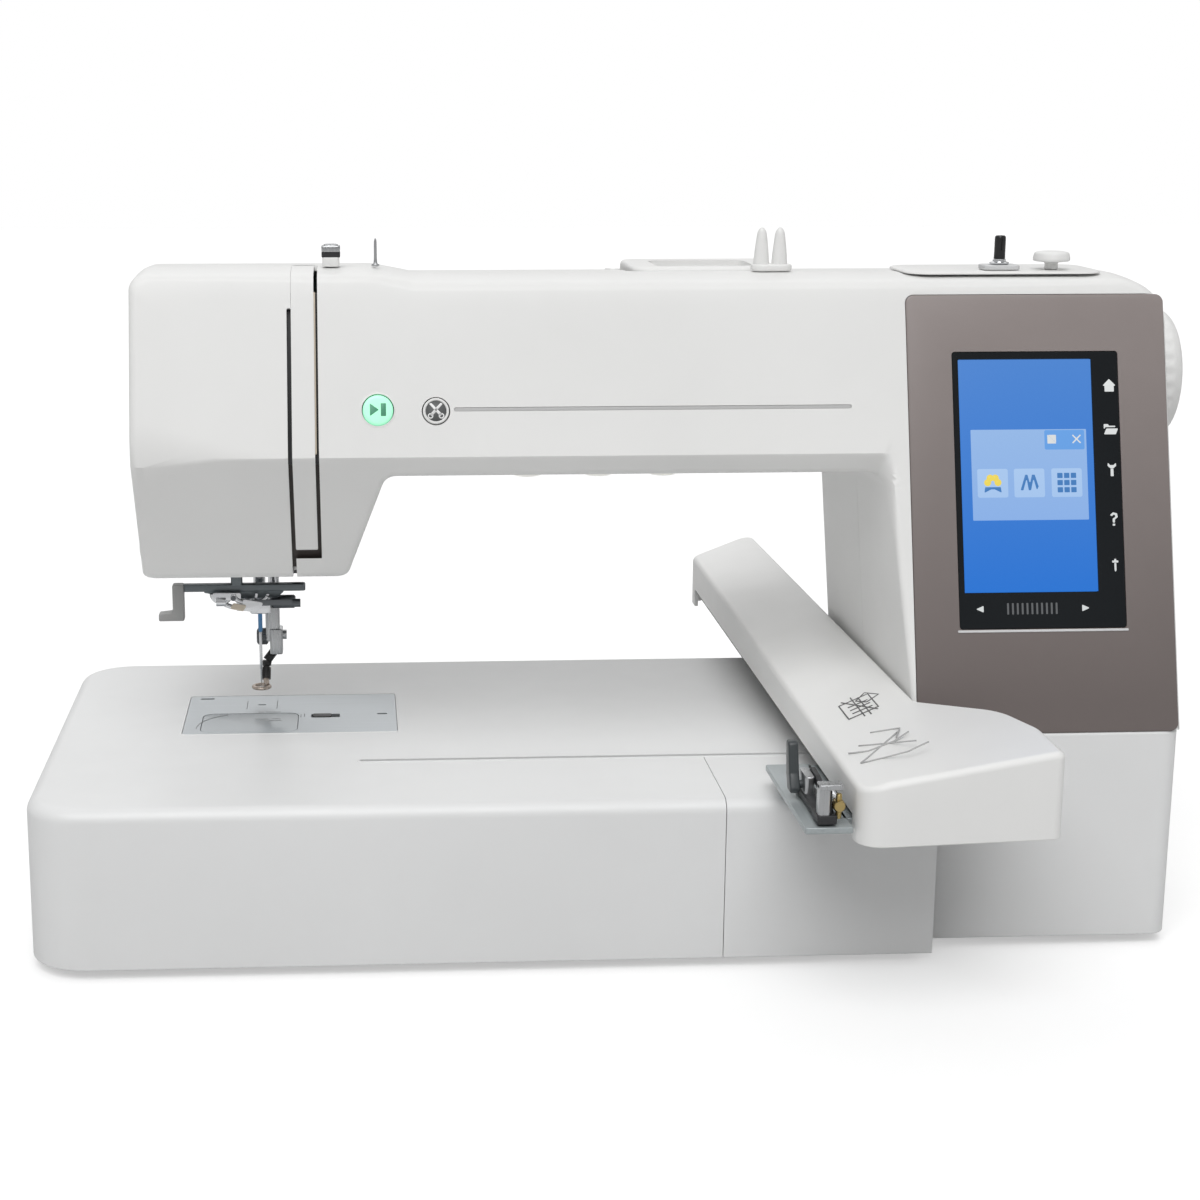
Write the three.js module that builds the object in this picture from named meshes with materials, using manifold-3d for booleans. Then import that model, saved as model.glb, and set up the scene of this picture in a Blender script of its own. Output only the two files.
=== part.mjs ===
// A computer-driven embroidery and sewing machine, built from separate shells, frame, shafts, rails and
// controls. Millimetres, +Z up, +X to the operator's right, +Y away from the operator.
// The sizes below are laid out from the table's front left corner; the whole group is then moved so that its
// origin is the bottom centre of its bounding box.
import * as THREE from "three";
import { mergeVertices } from "three/addons/utils/BufferGeometryUtils.js";
import Module from "manifold-3d";

const wasm = await Module();
wasm.setup();

// Driving dimensions.
const wall = 2.6; // moulded shells
const gap = 0.3; // between two covers that meet
const runningGap = 0.35; // between a moving piece and what it moves in

const footHeight = 4;
const footRadius = 10;
const panThickness = 2.5;
const panTop = footHeight + panThickness;

const tableWidth = 427; // the work table, left end to the column's base
const tableDepth = 271;
const tableTop = 82.4; // height of the work surface
const tableCornerRadius = 28;
const tableEdgeBevel = 6;
const unitLeft = tableWidth - 100; // left end of the embroidery unit's own cover
const slotFront = 70.7; // the long slot that the embroidery arm's bracket runs in
const slotWidth = 3.6;
const slotLeft = 156;

const columnRight = tableWidth + 121;
const columnBaseTop = tableTop + 24.6;
const columnRearRadius = 20;
const bodyRear = 218;
const bodyTop = 317.5;
const columnInnerTop = tableWidth - 17; // throat face of the column, at the arm
const columnInnerFoot = tableWidth - 5.5; // and at the table
const throatTop = bodyTop - 92;

const headLeft = 50;
const headRight = 151.3;
const headBottom = tableTop + 85.6;
const headSlopeRight = headRight + 19.2; // where the head's right side meets the arm
const headCapTop = bodyTop + 4;
const headCapRight = 165;
const headCapSlope = 20;

const leanHeight = 112; // the leaning front passes through this height ...
const leanDepth = 20; // ... at this depth
const leanSlope = 0.3;
const frontAt = (z) => leanDepth + leanSlope * (z - leanHeight);
const columnFront = frontAt(columnBaseTop); // foot of the leaning front
const creaseHeight = throatTop + 10.5; // below this line the head and arm undercut backwards
const undercutDepth = 48; // the head's bottom edge stands this far back from the crease
const undercutSlope = undercutDepth / (creaseHeight - headBottom);
const partingDepth = 125; // front cover to rear cover

const needleX = 104.4;
const needleY = 178;
const barRadius = 3.2; // needle bar
const presserX = needleX + 7.1;
const presserY = needleY + 12;
const presserRadius = 3;
const shaftY = 150; // main shaft and handwheel
const shaftZ = bodyTop - 55.5;
const shaftRadius = 6;
const handwheelRadius = 36;
const handwheelRight = columnRight + 28;
const lowerShaftZ = 36;
const lowerShaftRadius = 4.5;
const hookRadius = 25;

const plateLeft = 65; // needle plate
const plateRight = 176.5;
const plateFront = 123;
const plateRear = 197;
const plateThickness = 1.8;

const panelLeft = tableWidth - 6.5; // control panel on the leaning front
const panelRight = columnRight - 1.6;
const panelTop = bodyTop - 8.5;
const panelThickness = 1.4;
const bezelLeft = panelLeft + 21.5;
const bezelRight = bezelLeft + 81;
const bezelTop = panelTop - 26.4;
const bezelBottom = bezelTop - 127.9;
const lcdLeft = bezelLeft + 3;
const lcdRight = lcdLeft + 65;
const lcdTop = bezelTop - 3.1;
const lcdBottom = lcdTop - 109.5;

const armLeft = tableWidth - 56.5; // embroidery arm
const armFront = -82;
const armBackLeft = 398;
const armBackRight = 425;
const armTaper = 5; // the arm narrows by this much towards its far end
const armBottom = tableTop + 3.6;
const armTopLeft = armBottom + 29;
const armTopRight = armBottom + 40;
const throatAt = (z) =>
  columnInnerTop + ((columnInnerFoot - columnInnerTop) * (throatTop - z)) / (throatTop - tableTop - gap);
const armRight = throatAt(armTopRight) - 0.5; // the arm just clears the column
const armFootRight = armLeft + 91.5;
const armFootBack = frontAt(armBottom) + 1.8;
const armWall = 2.2;

// Helpers.
const matrix = new THREE.Matrix4();

function toSolid(geometry) {
  const plain = geometry.clone();
  plain.deleteAttribute("normal");
  plain.deleteAttribute("uv");
  const merged = mergeVertices(plain, 1e-4);
  return new wasm.Manifold(
    new wasm.Mesh({
      numProp: 3,
      vertProperties: merged.attributes.position.array,
      triVerts: new Uint32Array(merged.index.array),
    }),
  );
}

function toGeometry(solid) {
  const mesh = solid.getMesh();
  const geometry = new THREE.BufferGeometry();
  geometry.setAttribute("position", new THREE.BufferAttribute(new Float32Array(mesh.vertProperties), 3));
  geometry.setIndex(new THREE.BufferAttribute(new Uint32Array(mesh.triVerts), 1));
  geometry.computeVertexNormals();
  return geometry;
}

const join = (...solids) => solids.reduce((sum, next) => sum.add(next));
const cut = (body, ...tools) => tools.reduce((rest, tool) => rest.subtract(tool), body);

// A box between two corners.
function block(x0, x1, y0, y1, z0, z1) {
  const geometry = new THREE.BoxGeometry(x1 - x0, y1 - y0, z1 - z0);
  geometry.translate((x0 + x1) / 2, (y0 + y1) / 2, (z0 + z1) / 2);
  return toSolid(geometry);
}

// A cylinder along an axis ("x", "y" or "z"), from one station to another; the centre is [x, y, z].
function rod(axis, centre, radius, from, to, segments = 24, endRadius = radius) {
  const geometry = new THREE.CylinderGeometry(endRadius, radius, to - from, segments);
  if (axis === "x") geometry.rotateZ(-Math.PI / 2);
  if (axis === "z") geometry.rotateX(Math.PI / 2);
  const middle = { x: centre[0], y: centre[1], z: centre[2], [axis]: (from + to) / 2 };
  geometry.translate(middle.x, middle.y, middle.z);
  return toSolid(geometry);
}

// Moves each edge of a closed outline inwards by a distance, and shrinks its corner radii to match.
function inset(outline, distance) {
  const area = outline.reduce((sum, [x, y], i) => {
    const [nx, ny] = outline[(i + 1) % outline.length];
    return sum + x * ny - nx * y;
  }, 0);
  const turn = Math.sign(area);
  return outline.map(([x, y, radius = 0], i) => {
    const [ax, ay] = outline[(i + outline.length - 1) % outline.length];
    const [bx, by] = outline[(i + 1) % outline.length];
    const before = new THREE.Vector2(x - ax, y - ay).normalize();
    const after = new THREE.Vector2(bx - x, by - y).normalize();
    const push = distance / (1 + before.dot(after));
    const nx = -(before.y + after.y) * turn * push;
    const ny = (before.x + after.x) * turn * push;
    const convex = before.cross(after) * turn > 0;
    return [x + nx, y + ny, Math.max(0, radius + (convex ? -distance : distance) * (radius > 0 ? 1 : 0))];
  });
}

// A closed shape through [a, b, radius] corners, each corner rounded with a true arc.
function roundedShape(outline) {
  const shape = new THREE.Shape();
  outline.forEach(([x, y, radius = 0], i) => {
    const corner = new THREE.Vector2(x, y);
    if (radius < 0.05) {
      i ? shape.lineTo(x, y) : shape.moveTo(x, y);
      return;
    }
    const before = outline[(i + outline.length - 1) % outline.length];
    const after = outline[(i + 1) % outline.length];
    const toBefore = new THREE.Vector2(before[0] - x, before[1] - y).normalize();
    const toAfter = new THREE.Vector2(after[0] - x, after[1] - y).normalize();
    const half = Math.acos(THREE.MathUtils.clamp(toBefore.dot(toAfter), -1, 1)) / 2;
    const start = corner.clone().addScaledVector(toBefore, radius / Math.tan(half));
    const end = corner.clone().addScaledVector(toAfter, radius / Math.tan(half));
    const inward = toBefore.clone().add(toAfter).normalize();
    const centre = corner.clone().addScaledVector(inward, radius / Math.sin(half));
    i ? shape.lineTo(start.x, start.y) : shape.moveTo(start.x, start.y);
    const clockwise = toBefore.cross(toAfter) > 0;
    shape.absarc(
      centre.x,
      centre.y,
      radius,
      Math.atan2(start.y - centre.y, start.x - centre.x),
      Math.atan2(end.y - centre.y, end.x - centre.x),
      clockwise,
    );
  });
  return shape;
}

// Extrudes an outline: "z" takes [x, y] corners, "y" takes [x, z] and "x" takes [y, z].
function extrude(axis, outline, from, to, options = {}) {
  const { curveSegments = 3, bevel = 0, bevelSegments = 2 } = options;
  const geometry = new THREE.ExtrudeGeometry(roundedShape(outline), {
    depth: to - from - 2 * bevel,
    curveSegments,
    bevelEnabled: bevel > 0,
    bevelThickness: bevel,
    bevelSize: bevel,
    bevelOffset: -bevel,
    bevelSegments,
  });
  geometry.translate(0, 0, from + bevel);
  if (axis === "y") geometry.applyMatrix4(matrix.set(1, 0, 0, 0, 0, 0, 1, 0, 0, 1, 0, 0, 0, 0, 0, 1));
  if (axis === "x") geometry.applyMatrix4(matrix.set(0, 0, 1, 0, 1, 0, 0, 0, 0, 1, 0, 0, 0, 0, 0, 1));
  if (axis === "y") flipFaces(geometry);
  return toSolid(geometry);
}

// Swapping two axes mirrors a geometry, so its triangles are turned round again.
function flipFaces(geometry) {
  const places = geometry.attributes.position.array;
  for (let i = 0; i < places.length; i += 9)
    for (let k = 0; k < 3; k += 1) [places[i + k], places[i + 3 + k]] = [places[i + 3 + k], places[i + k]];
}

const rectangle = (a0, a1, b0, b1, radius = 0) => [
  [a0, b0, radius],
  [a1, b0, radius],
  [a1, b1, radius],
  [a0, b1, radius],
];

// Materials.
const material = (color, roughness, metalness = 0) =>
  new THREE.MeshStandardMaterial({ color, roughness, metalness });
const finishes = {
  shell: () => material(0xe6e6e4, 0.42),
  greyShell: () => material(0xc4c4c2, 0.45),
  taupe: () => material(0x776e6b, 0.4),
  blackGloss: () => material(0x15181a, 0.15),
  blackMatte: () => material(0x1c1c1d, 0.6),
  screen: () => material(0x3f84d0, 0.2),
  steel: () => material(0xb9bfc4, 0.32, 0.9),
  chrome: () => material(0xd6d9dc, 0.12, 1),
  castAlloy: () => material(0x8f9395, 0.55, 0.8),
  rubber: () => material(0x2a2a2a, 0.85),
  brass: () => material(0xb08d4c, 0.3, 0.9),
  clear: () => material(0xcfd8dc, 0.08),
  mint: () => material(0xc3f8da, 0.3),
  board: () => material(0x1f6b3a, 0.5),
  lens: () => material(0xf6f6ee, 0.15),
};

const root = new THREE.Group();

function add(name, shape, finish, parent = root, position = null) {
  const geometry = shape.isBufferGeometry ? shape : toGeometry(shape);
  const mesh = new THREE.Mesh(geometry, finishes[finish]());
  mesh.name = name;
  if (position) mesh.position.set(...position);
  parent.add(mesh);
  return mesh;
}

// The body's outer form.
const coverFoot = tableTop + gap;
const farFront = -60;
const farRear = 300;

const bodySilhouette = [
  [headLeft, headBottom, 4],
  [headRight, headBottom, 5],
  [headSlopeRight, throatTop, 7],
  [columnInnerTop, throatTop, 9],
  [columnInnerFoot, coverFoot, 0],
  [columnRight, coverFoot, 0],
  [columnRight, bodyTop, 22],
  [headCapRight + headCapSlope, bodyTop, 10],
  [headCapRight, headCapTop, 10],
  [headLeft, headCapTop, 9],
];

const bodyProfile = [
  [frontAt(footHeight), footHeight, 0],
  [bodyRear, footHeight, 0],
  [bodyRear, headCapTop - 6.5, columnRearRadius],
  [partingDepth - 10, headCapTop, 0],
  [frontAt(headCapTop - 3) + 4, headCapTop - 2.5, 5],
];

const undercutWedge = [
  [frontAt(creaseHeight), creaseHeight, 0],
  [farFront, creaseHeight + 0.01, 0],
  [farFront, headBottom - 40, 0],
  [frontAt(creaseHeight) + undercutSlope * (creaseHeight - headBottom + 40), headBottom - 40, 0],
];

function bodyForm(distance) {
  const side = extrude("y", inset(bodySilhouette, distance), farFront, farRear);
  const profile = extrude("x", inset(bodyProfile, distance), -20, 620);
  const lift = distance / Math.cos(Math.atan(undercutSlope));
  const raised = undercutWedge.map(([y, z]) => [y + (y > farFront ? lift : 0), z]);
  const front = extrude("x", raised, -20, columnInnerTop + distance);
  return side.intersect(profile).subtract(front);
}

const shellHigh = headCapTop + 20;
const baseSpaceTop = columnBaseTop + gap;
const columnBaseSpace = block(tableWidth + gap, columnRight + 20, farFront, farRear, -10, baseSpaceTop);
const hollowForm = bodyForm(wall);
const shellForm = bodyForm(0).subtract(hollowForm).subtract(columnBaseSpace);

// The leaning front as a frame of its own.
// Local x is the object's x, local z runs up the front, and local y points into the body.
const leanAngle = Math.atan(leanSlope);
const upFront = (z) => (z - leanHeight) / Math.cos(leanAngle);
const frontGroup = new THREE.Group();
frontGroup.position.set(0, leanDepth, leanHeight);
frontGroup.rotation.x = -leanAngle;
frontGroup.updateMatrix();
root.add(frontGroup);

const onFront = (solid) => toSolid(toGeometry(solid).applyMatrix4(frontGroup.matrix));
const frontBlock = (x0, x1, y0, y1, z0, z1) => block(x0, x1, y0, y1, upFront(z0), upFront(z1));

// Covers.
const stripLeft = needleX + 22; // fixed strip between the two threading slits
const stripRight = stripLeft + 10.8;
const slitWidth = 2.4;
const stripBottom = headBottom + 27.2;
const stripGap = 3.9; // the dark step under the strip
const stripDepth = 55;
const startX = headSlopeRight - 3.5;
const startZ = bodyTop - 59.8;
const startRadius = 7.6;
const cutterX = startX + 27.4;
const cutterZ = startZ - 0.7;
const cutterRadius = 6.6;
const grooveLeft = cutterX + 8.6;
const grooveRight = columnInnerTop - 17;
const grooveHalf = 1;
const grooveDepth = 0.8;

// Open underside of the head: x from, x to, y from, y to.
const needleWindow = [needleX - 20.4, needleX + 27.6, needleY - 28, needleY + 35];
const headWindow = block(...needleWindow, headBottom - 5, headBottom + wall + 3);

function frontCover() {
  const pocket = onFront(
    frontBlock(panelLeft - gap, panelRight + gap, -5, panelThickness + gap, columnBaseTop - 3, panelTop + gap),
  );
  const screenHole = onFront(frontBlock(bezelLeft - 4, bezelRight + 4, -2, 12, bezelBottom - 4, bezelTop + 4));
  const slits = onFront(
    join(
      frontBlock(stripLeft - slitWidth, stripRight + slitWidth, -8, 30, stripBottom, shellHigh),
      frontBlock(stripLeft - slitWidth, stripRight + slitWidth, -8, stripDepth + 9, stripBottom, creaseHeight),
      frontBlock(stripLeft - slitWidth, stripLeft, -8, 90, headBottom - 20, stripBottom + 1),
    ),
  );
  const startHole = onFront(rod("y", [startX, 0, upFront(startZ)], startRadius + runningGap, -6, 12));
  const cutterHole = onFront(rod("y", [cutterX, 0, upFront(cutterZ)], cutterRadius + runningGap, -6, 12));
  const groove = onFront(
    block(grooveLeft, grooveRight, -1, grooveDepth, upFront(startZ) - grooveHalf, upFront(startZ) + grooveHalf),
  );
  const half = shellForm.intersect(block(-20, 620, farFront, partingDepth, -20, shellHigh));
  return cut(half, pocket, screenHole, slits, startHole, cutterHole, groove, headWindow);
}

const handleRight = tableWidth - 55;
const handleLeft = handleRight - 76;
const handleFront = partingDepth + 6;
const handleRear = handleFront + 65;
const handleThickness = 8;
const handleTop = bodyTop + 1.1;
const handleSideBar = 13;
const handleHingeBar = 12;
const handleGripBar = 15;
const recessDepth = 9;
const recessMargin = 4;

const handleRecess = [
  handleLeft - recessMargin,
  handleRight + recessMargin,
  handleFront - recessMargin,
  handleRear + recessMargin,
];
const recessFloor = bodyTop - recessDepth;
const recessSpace = block(...handleRecess, recessFloor, shellHigh);

function rearCover() {
  const half = shellForm.intersect(block(-20, 620, partingDepth + gap, farRear, -20, shellHigh));
  const wheelHole = rod("x", [0, shaftY, shaftZ], shaftRadius + 6, columnRight - 8, columnRight + 5);
  return cut(half, recessSpace, wheelHole, headWindow);
}

// The recess's floor and sides, hung under the hole in the rear cover's top.
function handleTray() {
  const [left, right, front, rear] = handleRecess;
  const around = block(left - wall, right + wall, front - wall / 2, rear + wall, recessFloor - wall, shellHigh);
  return cut(around.intersect(bodyForm(wall + gap)), recessSpace);
}

// The strip between the slits follows the leaning front and the undercut below it.
function threadStrip() {
  const low = stripBottom + stripGap;
  const bar = onFront(frontBlock(stripLeft + 0.2, stripRight, -2, stripDepth, low, headCapTop - 9));
  const thick = bodyForm(gap).subtract(bodyForm(wall + 0.4));
  return bar.intersect(thick);
}

// Table and base.
const tableOutline = [
  [0, 0, tableCornerRadius],
  [tableWidth + 30, 0, 0],
  [tableWidth + 30, tableDepth, 0],
  [0, tableDepth, tableCornerRadius],
];

function tableForm(distance) {
  const high = tableTop - distance;
  const bevel = tableEdgeBevel - distance;
  const form = extrude("z", inset(tableOutline, distance), -20, high, { bevel, curveSegments: 4 });
  const low = distance ? -12 : footHeight + 0.5;
  return form.intersect(block(-20, tableWidth - distance, farFront, farRear, low, high + 1));
}

const tableShell = tableForm(0).subtract(tableForm(wall));
const slotSpace = block(slotLeft, tableWidth - 4, slotFront, slotFront + slotWidth, 40, tableTop + 5);
const unitSpace = (by) => block(unitLeft - by, tableWidth + 20, farFront, slotFront + 1, -20, tableTop + 5);
const doorFront = columnFront + 6; // opening between the table's space and the column's
const doorRear = bodyRear - 8;
const doorTop = tableTop - 12;
const tableDoor = block(tableWidth - wall - 1, tableWidth + 5, doorFront, doorRear, 0, doorTop);

const ledgeWidth = 4; // the plate rests on a ledge of this width

function bedCover() {
  const seat = tableTop - plateThickness - gap;
  const around = (by, low, high) =>
    block(plateLeft - by, plateRight + by, plateFront - by, plateRear + by, low, high);
  const ledge = around(ledgeWidth - 1, seat - wall, tableTop - wall + 0.2);
  const pocket = around(0, seat, tableTop + 5);
  const under = around(-ledgeWidth, seat - 10, tableTop + 5);
  return cut(join(tableShell, ledge), pocket, under, slotSpace, unitSpace(gap), tableDoor);
}

function unitCover() {
  return cut(tableShell.intersect(unitSpace(0)), slotSpace, tableDoor);
}

const columnBaseOutline = [
  [tableWidth + gap, columnFront, 3],
  [columnRight, columnFront, 9],
  [columnRight, bodyRear, columnRearRadius],
  [tableWidth + gap, bodyRear, 3],
];
const inletY = 96;
const inletZ = 40;
const inletHalf = 13;
const inletHalfHeight = 10;
const switchY = 60;
const switchHalf = 8;
const switchHalfHeight = 11;

function columnBaseCover() {
  const outer = extrude("z", columnBaseOutline, footHeight + 0.5, columnBaseTop);
  const inner = extrude("z", inset(columnBaseOutline, wall), -10, columnBaseTop + 10);
  const doorway = block(tableWidth - 10, tableWidth + wall + 5, doorFront, doorRear, 0, doorTop);
  const sideHole = (y, half, high) =>
    block(columnRight - 6, columnRight + 5, y - half, y + half, inletZ - high, inletZ + high);
  return cut(
    outer,
    inner,
    doorway,
    sideHole(inletY, inletHalf + gap, inletHalfHeight + gap),
    sideHole(switchY, switchHalf + gap, switchHalfHeight + gap),
  );
}

function basePan() {
  const clear = wall + gap;
  const under = extrude("z", inset(tableOutline, clear), footHeight, panTop, { curveSegments: 4 })
    .intersect(block(0, tableWidth - clear, 0, tableDepth, 0, 20));
  const columnEnd = columnRight - clear - 2;
  const columnPart = block(tableWidth - 10, columnEnd, doorFront + 2, doorRear - 4, footHeight, panTop);
  return join(under, columnPart);
}

// Inner frame and bearings.
const frameFront = needleY + 22; // the cast frame is an upright plate behind the shafts
const frameRear = frameFront + 7;
const frameMargin = 14; // from the covers' outer faces to the frame's edge
const bearingRadius = 10;
const bearingStations = [headSlopeRight + 21.5, columnInnerTop + 30];
const bearingLength = 12;

function machineFrame() {
  const outline = [
    [headLeft + frameMargin, headBottom + frameMargin, 4],
    [headRight - 11, headBottom + frameMargin, 4],
    [headSlopeRight - 5, throatTop + frameMargin, 4],
    [columnInnerTop + 20, throatTop + frameMargin, 6],
    [columnInnerFoot + 17, tableTop - frameMargin, 4],
    [60, tableTop - frameMargin, 4],
    [60, panTop, 0],
    [columnRight - 18, panTop, 0],
    [columnRight - 18, bodyTop - 26, frameMargin],
    [headLeft + frameMargin, bodyTop - 26, 4],
  ];
  const plate = extrude("y", outline, frameFront, frameRear);
  const blocks = bearingStations.map((x) =>
    block(x - bearingLength / 2, x + bearingLength / 2, shaftY - 13, frameFront + 1, shaftZ - 14, shaftZ + 14),
  );
  const bores = bearingStations.map((x) =>
    rod("x", [0, shaftY, shaftZ], bearingRadius, x - bearingLength, x + bearingLength, 24),
  );
  const guides = [headBottom + frameMargin + 2, bodyTop - 40].map((z) =>
    block(needleX - 8.4, presserX + 7.5, needleY - 8, frameFront + 1, z, z + 9),
  );
  const barBores = [
    rod("z", [needleX, needleY, 0], barRadius + runningGap, tableTop + 18, shellHigh, 20),
    rod("z", [presserX, presserY, 0], presserRadius + runningGap, tableTop + 18, shellHigh, 16),
  ];
  const lowerBlocks = [needleX + 45.6, tableWidth - 27].map((x) =>
    block(x - 6, x + 6, shaftY - 9, frameFront + 1, panTop + 12, lowerShaftZ + 10),
  );
  const lowerBore = rod("x", [0, shaftY, lowerShaftZ], lowerShaftRadius + runningGap, needleX, tableWidth, 16);
  return cut(join(plate, ...blocks, ...guides, ...lowerBlocks), ...bores, ...barBores, lowerBore);
}

// Drive.
const shaftLeft = headRight - 5.3;
const crankRadius = 16;
const timingStation = tableWidth + 35;
const pulleyStation = timingStation + 26;
const pulleyWidth = 9;
const mainPulleyRadius = 24;
const motorPulleyRadius = 8;
const motorRadius = 24;
const motorZ = columnBaseTop + 43;
const beltThickness = 1.6;
const beltWidth = 7;
const beltClearance = 0.8;
const timingRadius = 15;

function pulley(x, y, z, radius, boreRadius) {
  const body = join(
    rod("x", [0, y, z], radius, x - pulleyWidth / 2, x + pulleyWidth / 2, 28),
    rod("x", [0, y, z], radius + 3, x - pulleyWidth / 2 - 1.5, x - pulleyWidth / 2, 28),
  );
  return cut(body, rod("x", [0, y, z], boreRadius, x - 20, x + 20, 20));
}

// A closed belt round two pulleys on the shafts' y: straight runs tangent to both.
function belt(x, upper, upperRadius, lower, lowerRadius) {
  const onPulley = (z, radius, angle) => [shaftY + radius * Math.cos(angle), z + radius * Math.sin(angle)];
  const loop = (grow) => {
    const shape = [];
    const tilt = Math.asin((upperRadius - lowerRadius) / (upper - lower));
    const steps = 10;
    for (let i = 0; i <= steps; i += 1) {
      const angle = -tilt + ((Math.PI + 2 * tilt) * i) / steps;
      shape.push(onPulley(upper, upperRadius + grow, angle));
    }
    for (let i = 0; i <= steps; i += 1) {
      const angle = Math.PI + tilt + ((Math.PI - 2 * tilt) * i) / steps;
      shape.push(onPulley(lower, lowerRadius + grow, angle));
    }
    return shape;
  };
  const inner = extrude("x", loop(beltClearance), x - beltWidth, x + beltWidth);
  const outer = extrude("x", loop(beltClearance + beltThickness), x - beltWidth / 2, x + beltWidth / 2);
  return cut(outer, inner);
}

function mainShaft() {
  const shaft = rod("x", [0, shaftY, shaftZ], shaftRadius, shaftLeft, handwheelRight - 6, 24);
  const web = rod("x", [0, shaftY, shaftZ], crankRadius, shaftLeft - 8, shaftLeft, 24);
  const flat = block(shaftLeft - 9, shaftLeft + 0.5, shaftY - 30, shaftY + 30, shaftZ + 5, shaftZ + 30);
  const pin = rod("x", [0, shaftY, shaftZ - crankRadius + 5], 3, shaftLeft - 16, shaftLeft - 7, 12);
  const timingPulley = rod("x", [0, shaftY, shaftZ], timingRadius, timingStation - 5, timingStation + 5, 24);
  return join(cut(web, flat), shaft, pin, timingPulley);
}

function handwheel() {
  const profile = [
    [shaftRadius + 0.1, columnRight + 2],
    [handwheelRadius - 3, columnRight + 2],
    [handwheelRadius, columnRight + 6],
    [handwheelRadius, handwheelRight - 6],
    [handwheelRadius - 4, handwheelRight - 1],
    [handwheelRadius - 9, handwheelRight],
    [handwheelRadius - 14, handwheelRight - 4],
    [12, handwheelRight - 3],
    [shaftRadius + 0.1, handwheelRight - 2],
  ];
  const geometry = new THREE.LatheGeometry(
    [...profile, profile[0]].map(([r, x]) => new THREE.Vector2(r, x)),
    36,
  );
  geometry.rotateZ(-Math.PI / 2);
  geometry.translate(0, shaftY, shaftZ);
  return toSolid(geometry);
}

function lowerShaft() {
  const shaft = rod("x", [0, shaftY, lowerShaftZ], lowerShaftRadius, needleX + 15.6, timingStation + 8, 16);
  const wormWheel = rod("x", [0, shaftY, lowerShaftZ], 9, needleX + 19.6, needleX + 31.6, 20);
  const timingPulley = rod("x", [0, shaftY, lowerShaftZ], timingRadius, timingStation - 5, timingStation + 5, 24);
  return join(shaft, wormWheel, timingPulley);
}

// Needle area.
const needleTip = tableTop + 10.6;
const clampBottom = needleTip + 41;
const clampTop = clampBottom + 11;
const footBottom = tableTop + 9; // presser foot, raised
const footPlate = 2.6;
const barSocket = footBottom + 26.6; // where the foot's collar takes the presser bar

function needle() {
  const blade = rod("z", [needleX, needleY, 0], 0.8, needleTip + 4, clampBottom - 6, 8);
  const tip = rod("z", [needleX, needleY, 0], 0.25, needleTip, needleTip + 4, 8, 0.8);
  const shank = rod("z", [needleX, needleY, 0], 1.2, clampBottom - 6, clampBottom - 0.2, 8);
  return join(blade, tip, shank);
}

function presserFoot() {
  const collarTop = barSocket + 6;
  const collar = cut(
    block(presserX - 5, presserX + 5, presserY - 6, presserY + 5, collarTop - 12, collarTop),
    rod("z", [presserX, presserY, 0], presserRadius + 0.15, barSocket, collarTop + 6, 16),
  );
  const leg = block(presserX - 2, presserX + 2, presserY - 5, presserY - 1, footBottom + 2.6, collarTop - 11);
  const arm = block(needleX + 1.5, presserX + 2, needleY + 3, presserY - 1, footBottom, footBottom + 4.6);
  const ring = cut(
    rod("z", [needleX, needleY, 0], 6, footBottom, footBottom + footPlate, 24),
    rod("z", [needleX, needleY, 0], 3.6, tableTop, footBottom + 11, 20),
  );
  const ringTop = footBottom + footPlate;
  const ringBridge = block(needleX - 1.5, needleX + 3, needleY + 4.4, needleY + 8, footBottom, ringTop);
  const screw = rod("x", [0, presserY - 1, barSocket], 4, presserX - 9, presserX - 4.5, 16);
  return join(collar, leg, arm, ring, ringBridge, screw);
}

const takeUpX = stripLeft + 5.4;
const takeUpPivot = [shaftY - 22, shaftZ + 21]; // y, z
function takeUpLever() {
  const [y, z] = takeUpPivot;
  const arm = extrude("x", [
    [y - 5, z - 6, 3],
    [y + 6, z - 4, 3],
    [y + 5, z + 6, 3],
    [y - 16, z + 10, 1],
    [y - 20, z + 6, 1],
  ], takeUpX - 1.5, takeUpX + 1.5);
  return cut(arm, rod("x", [0, y, z], 2.5, takeUpX - 30, takeUpX + 30, 12));
}

function threader() {
  const bottom = headBottom - 20;
  const [front, rear] = [needleY - 13, needleY - 8];
  const bar = block(needleX - 39.1, needleX + 24.6, front, rear, bottom, bottom + 4);
  const lever = block(needleX - 45.1, needleX - 38.1, front, rear + 1, bottom - 15.4, bottom + 4);
  const tab = block(needleX - 52.5, needleX - 38.1, front - 2, rear + 2, bottom - 15.4, bottom - 11);
  const stem = block(needleX - 14.4, needleX - 8.4, front, rear, bottom + 3, headBottom + 22);
  return join(bar, lever, tab, stem);
}

const lifterX = presserX + 12.5;
const lifterPivot = [presserY + 2.5, headBottom + 10]; // y, z
function lifterLever() {
  const [y, z] = lifterPivot;
  const shape = extrude("x", [
    [y - 5, z - 5, 3],
    [y + 2, z - 22, 2],
    [y + 14, z - 30, 2],
    [y + 16, z - 27, 1],
    [y + 6, z - 18, 2],
    [y + 5, z + 4, 3],
    [y - 4, z + 5, 3],
  ], lifterX - 3, lifterX + 3);
  return cut(shape, rod("x", [0, y, z], 2.3, lifterX - 10, lifterX + 10, 12));
}

// Hook and bobbin.
const hookY = needleY - hookRadius - 1.6;
const hookTop = tableTop - 8.4;
const hookFloor = hookTop - 22;

function hook() {
  const cup = rod("z", [needleX, hookY, 0], hookRadius, hookFloor, hookTop, 32);
  const hollow = rod("z", [needleX, hookY, 0], hookRadius - 2, hookFloor + 3, hookTop + 6, 32);
  const stem = rod("z", [needleX, hookY, 0], 5, hookFloor - 22, hookFloor + 1, 16);
  return cut(join(cup, stem), hollow);
}

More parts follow.
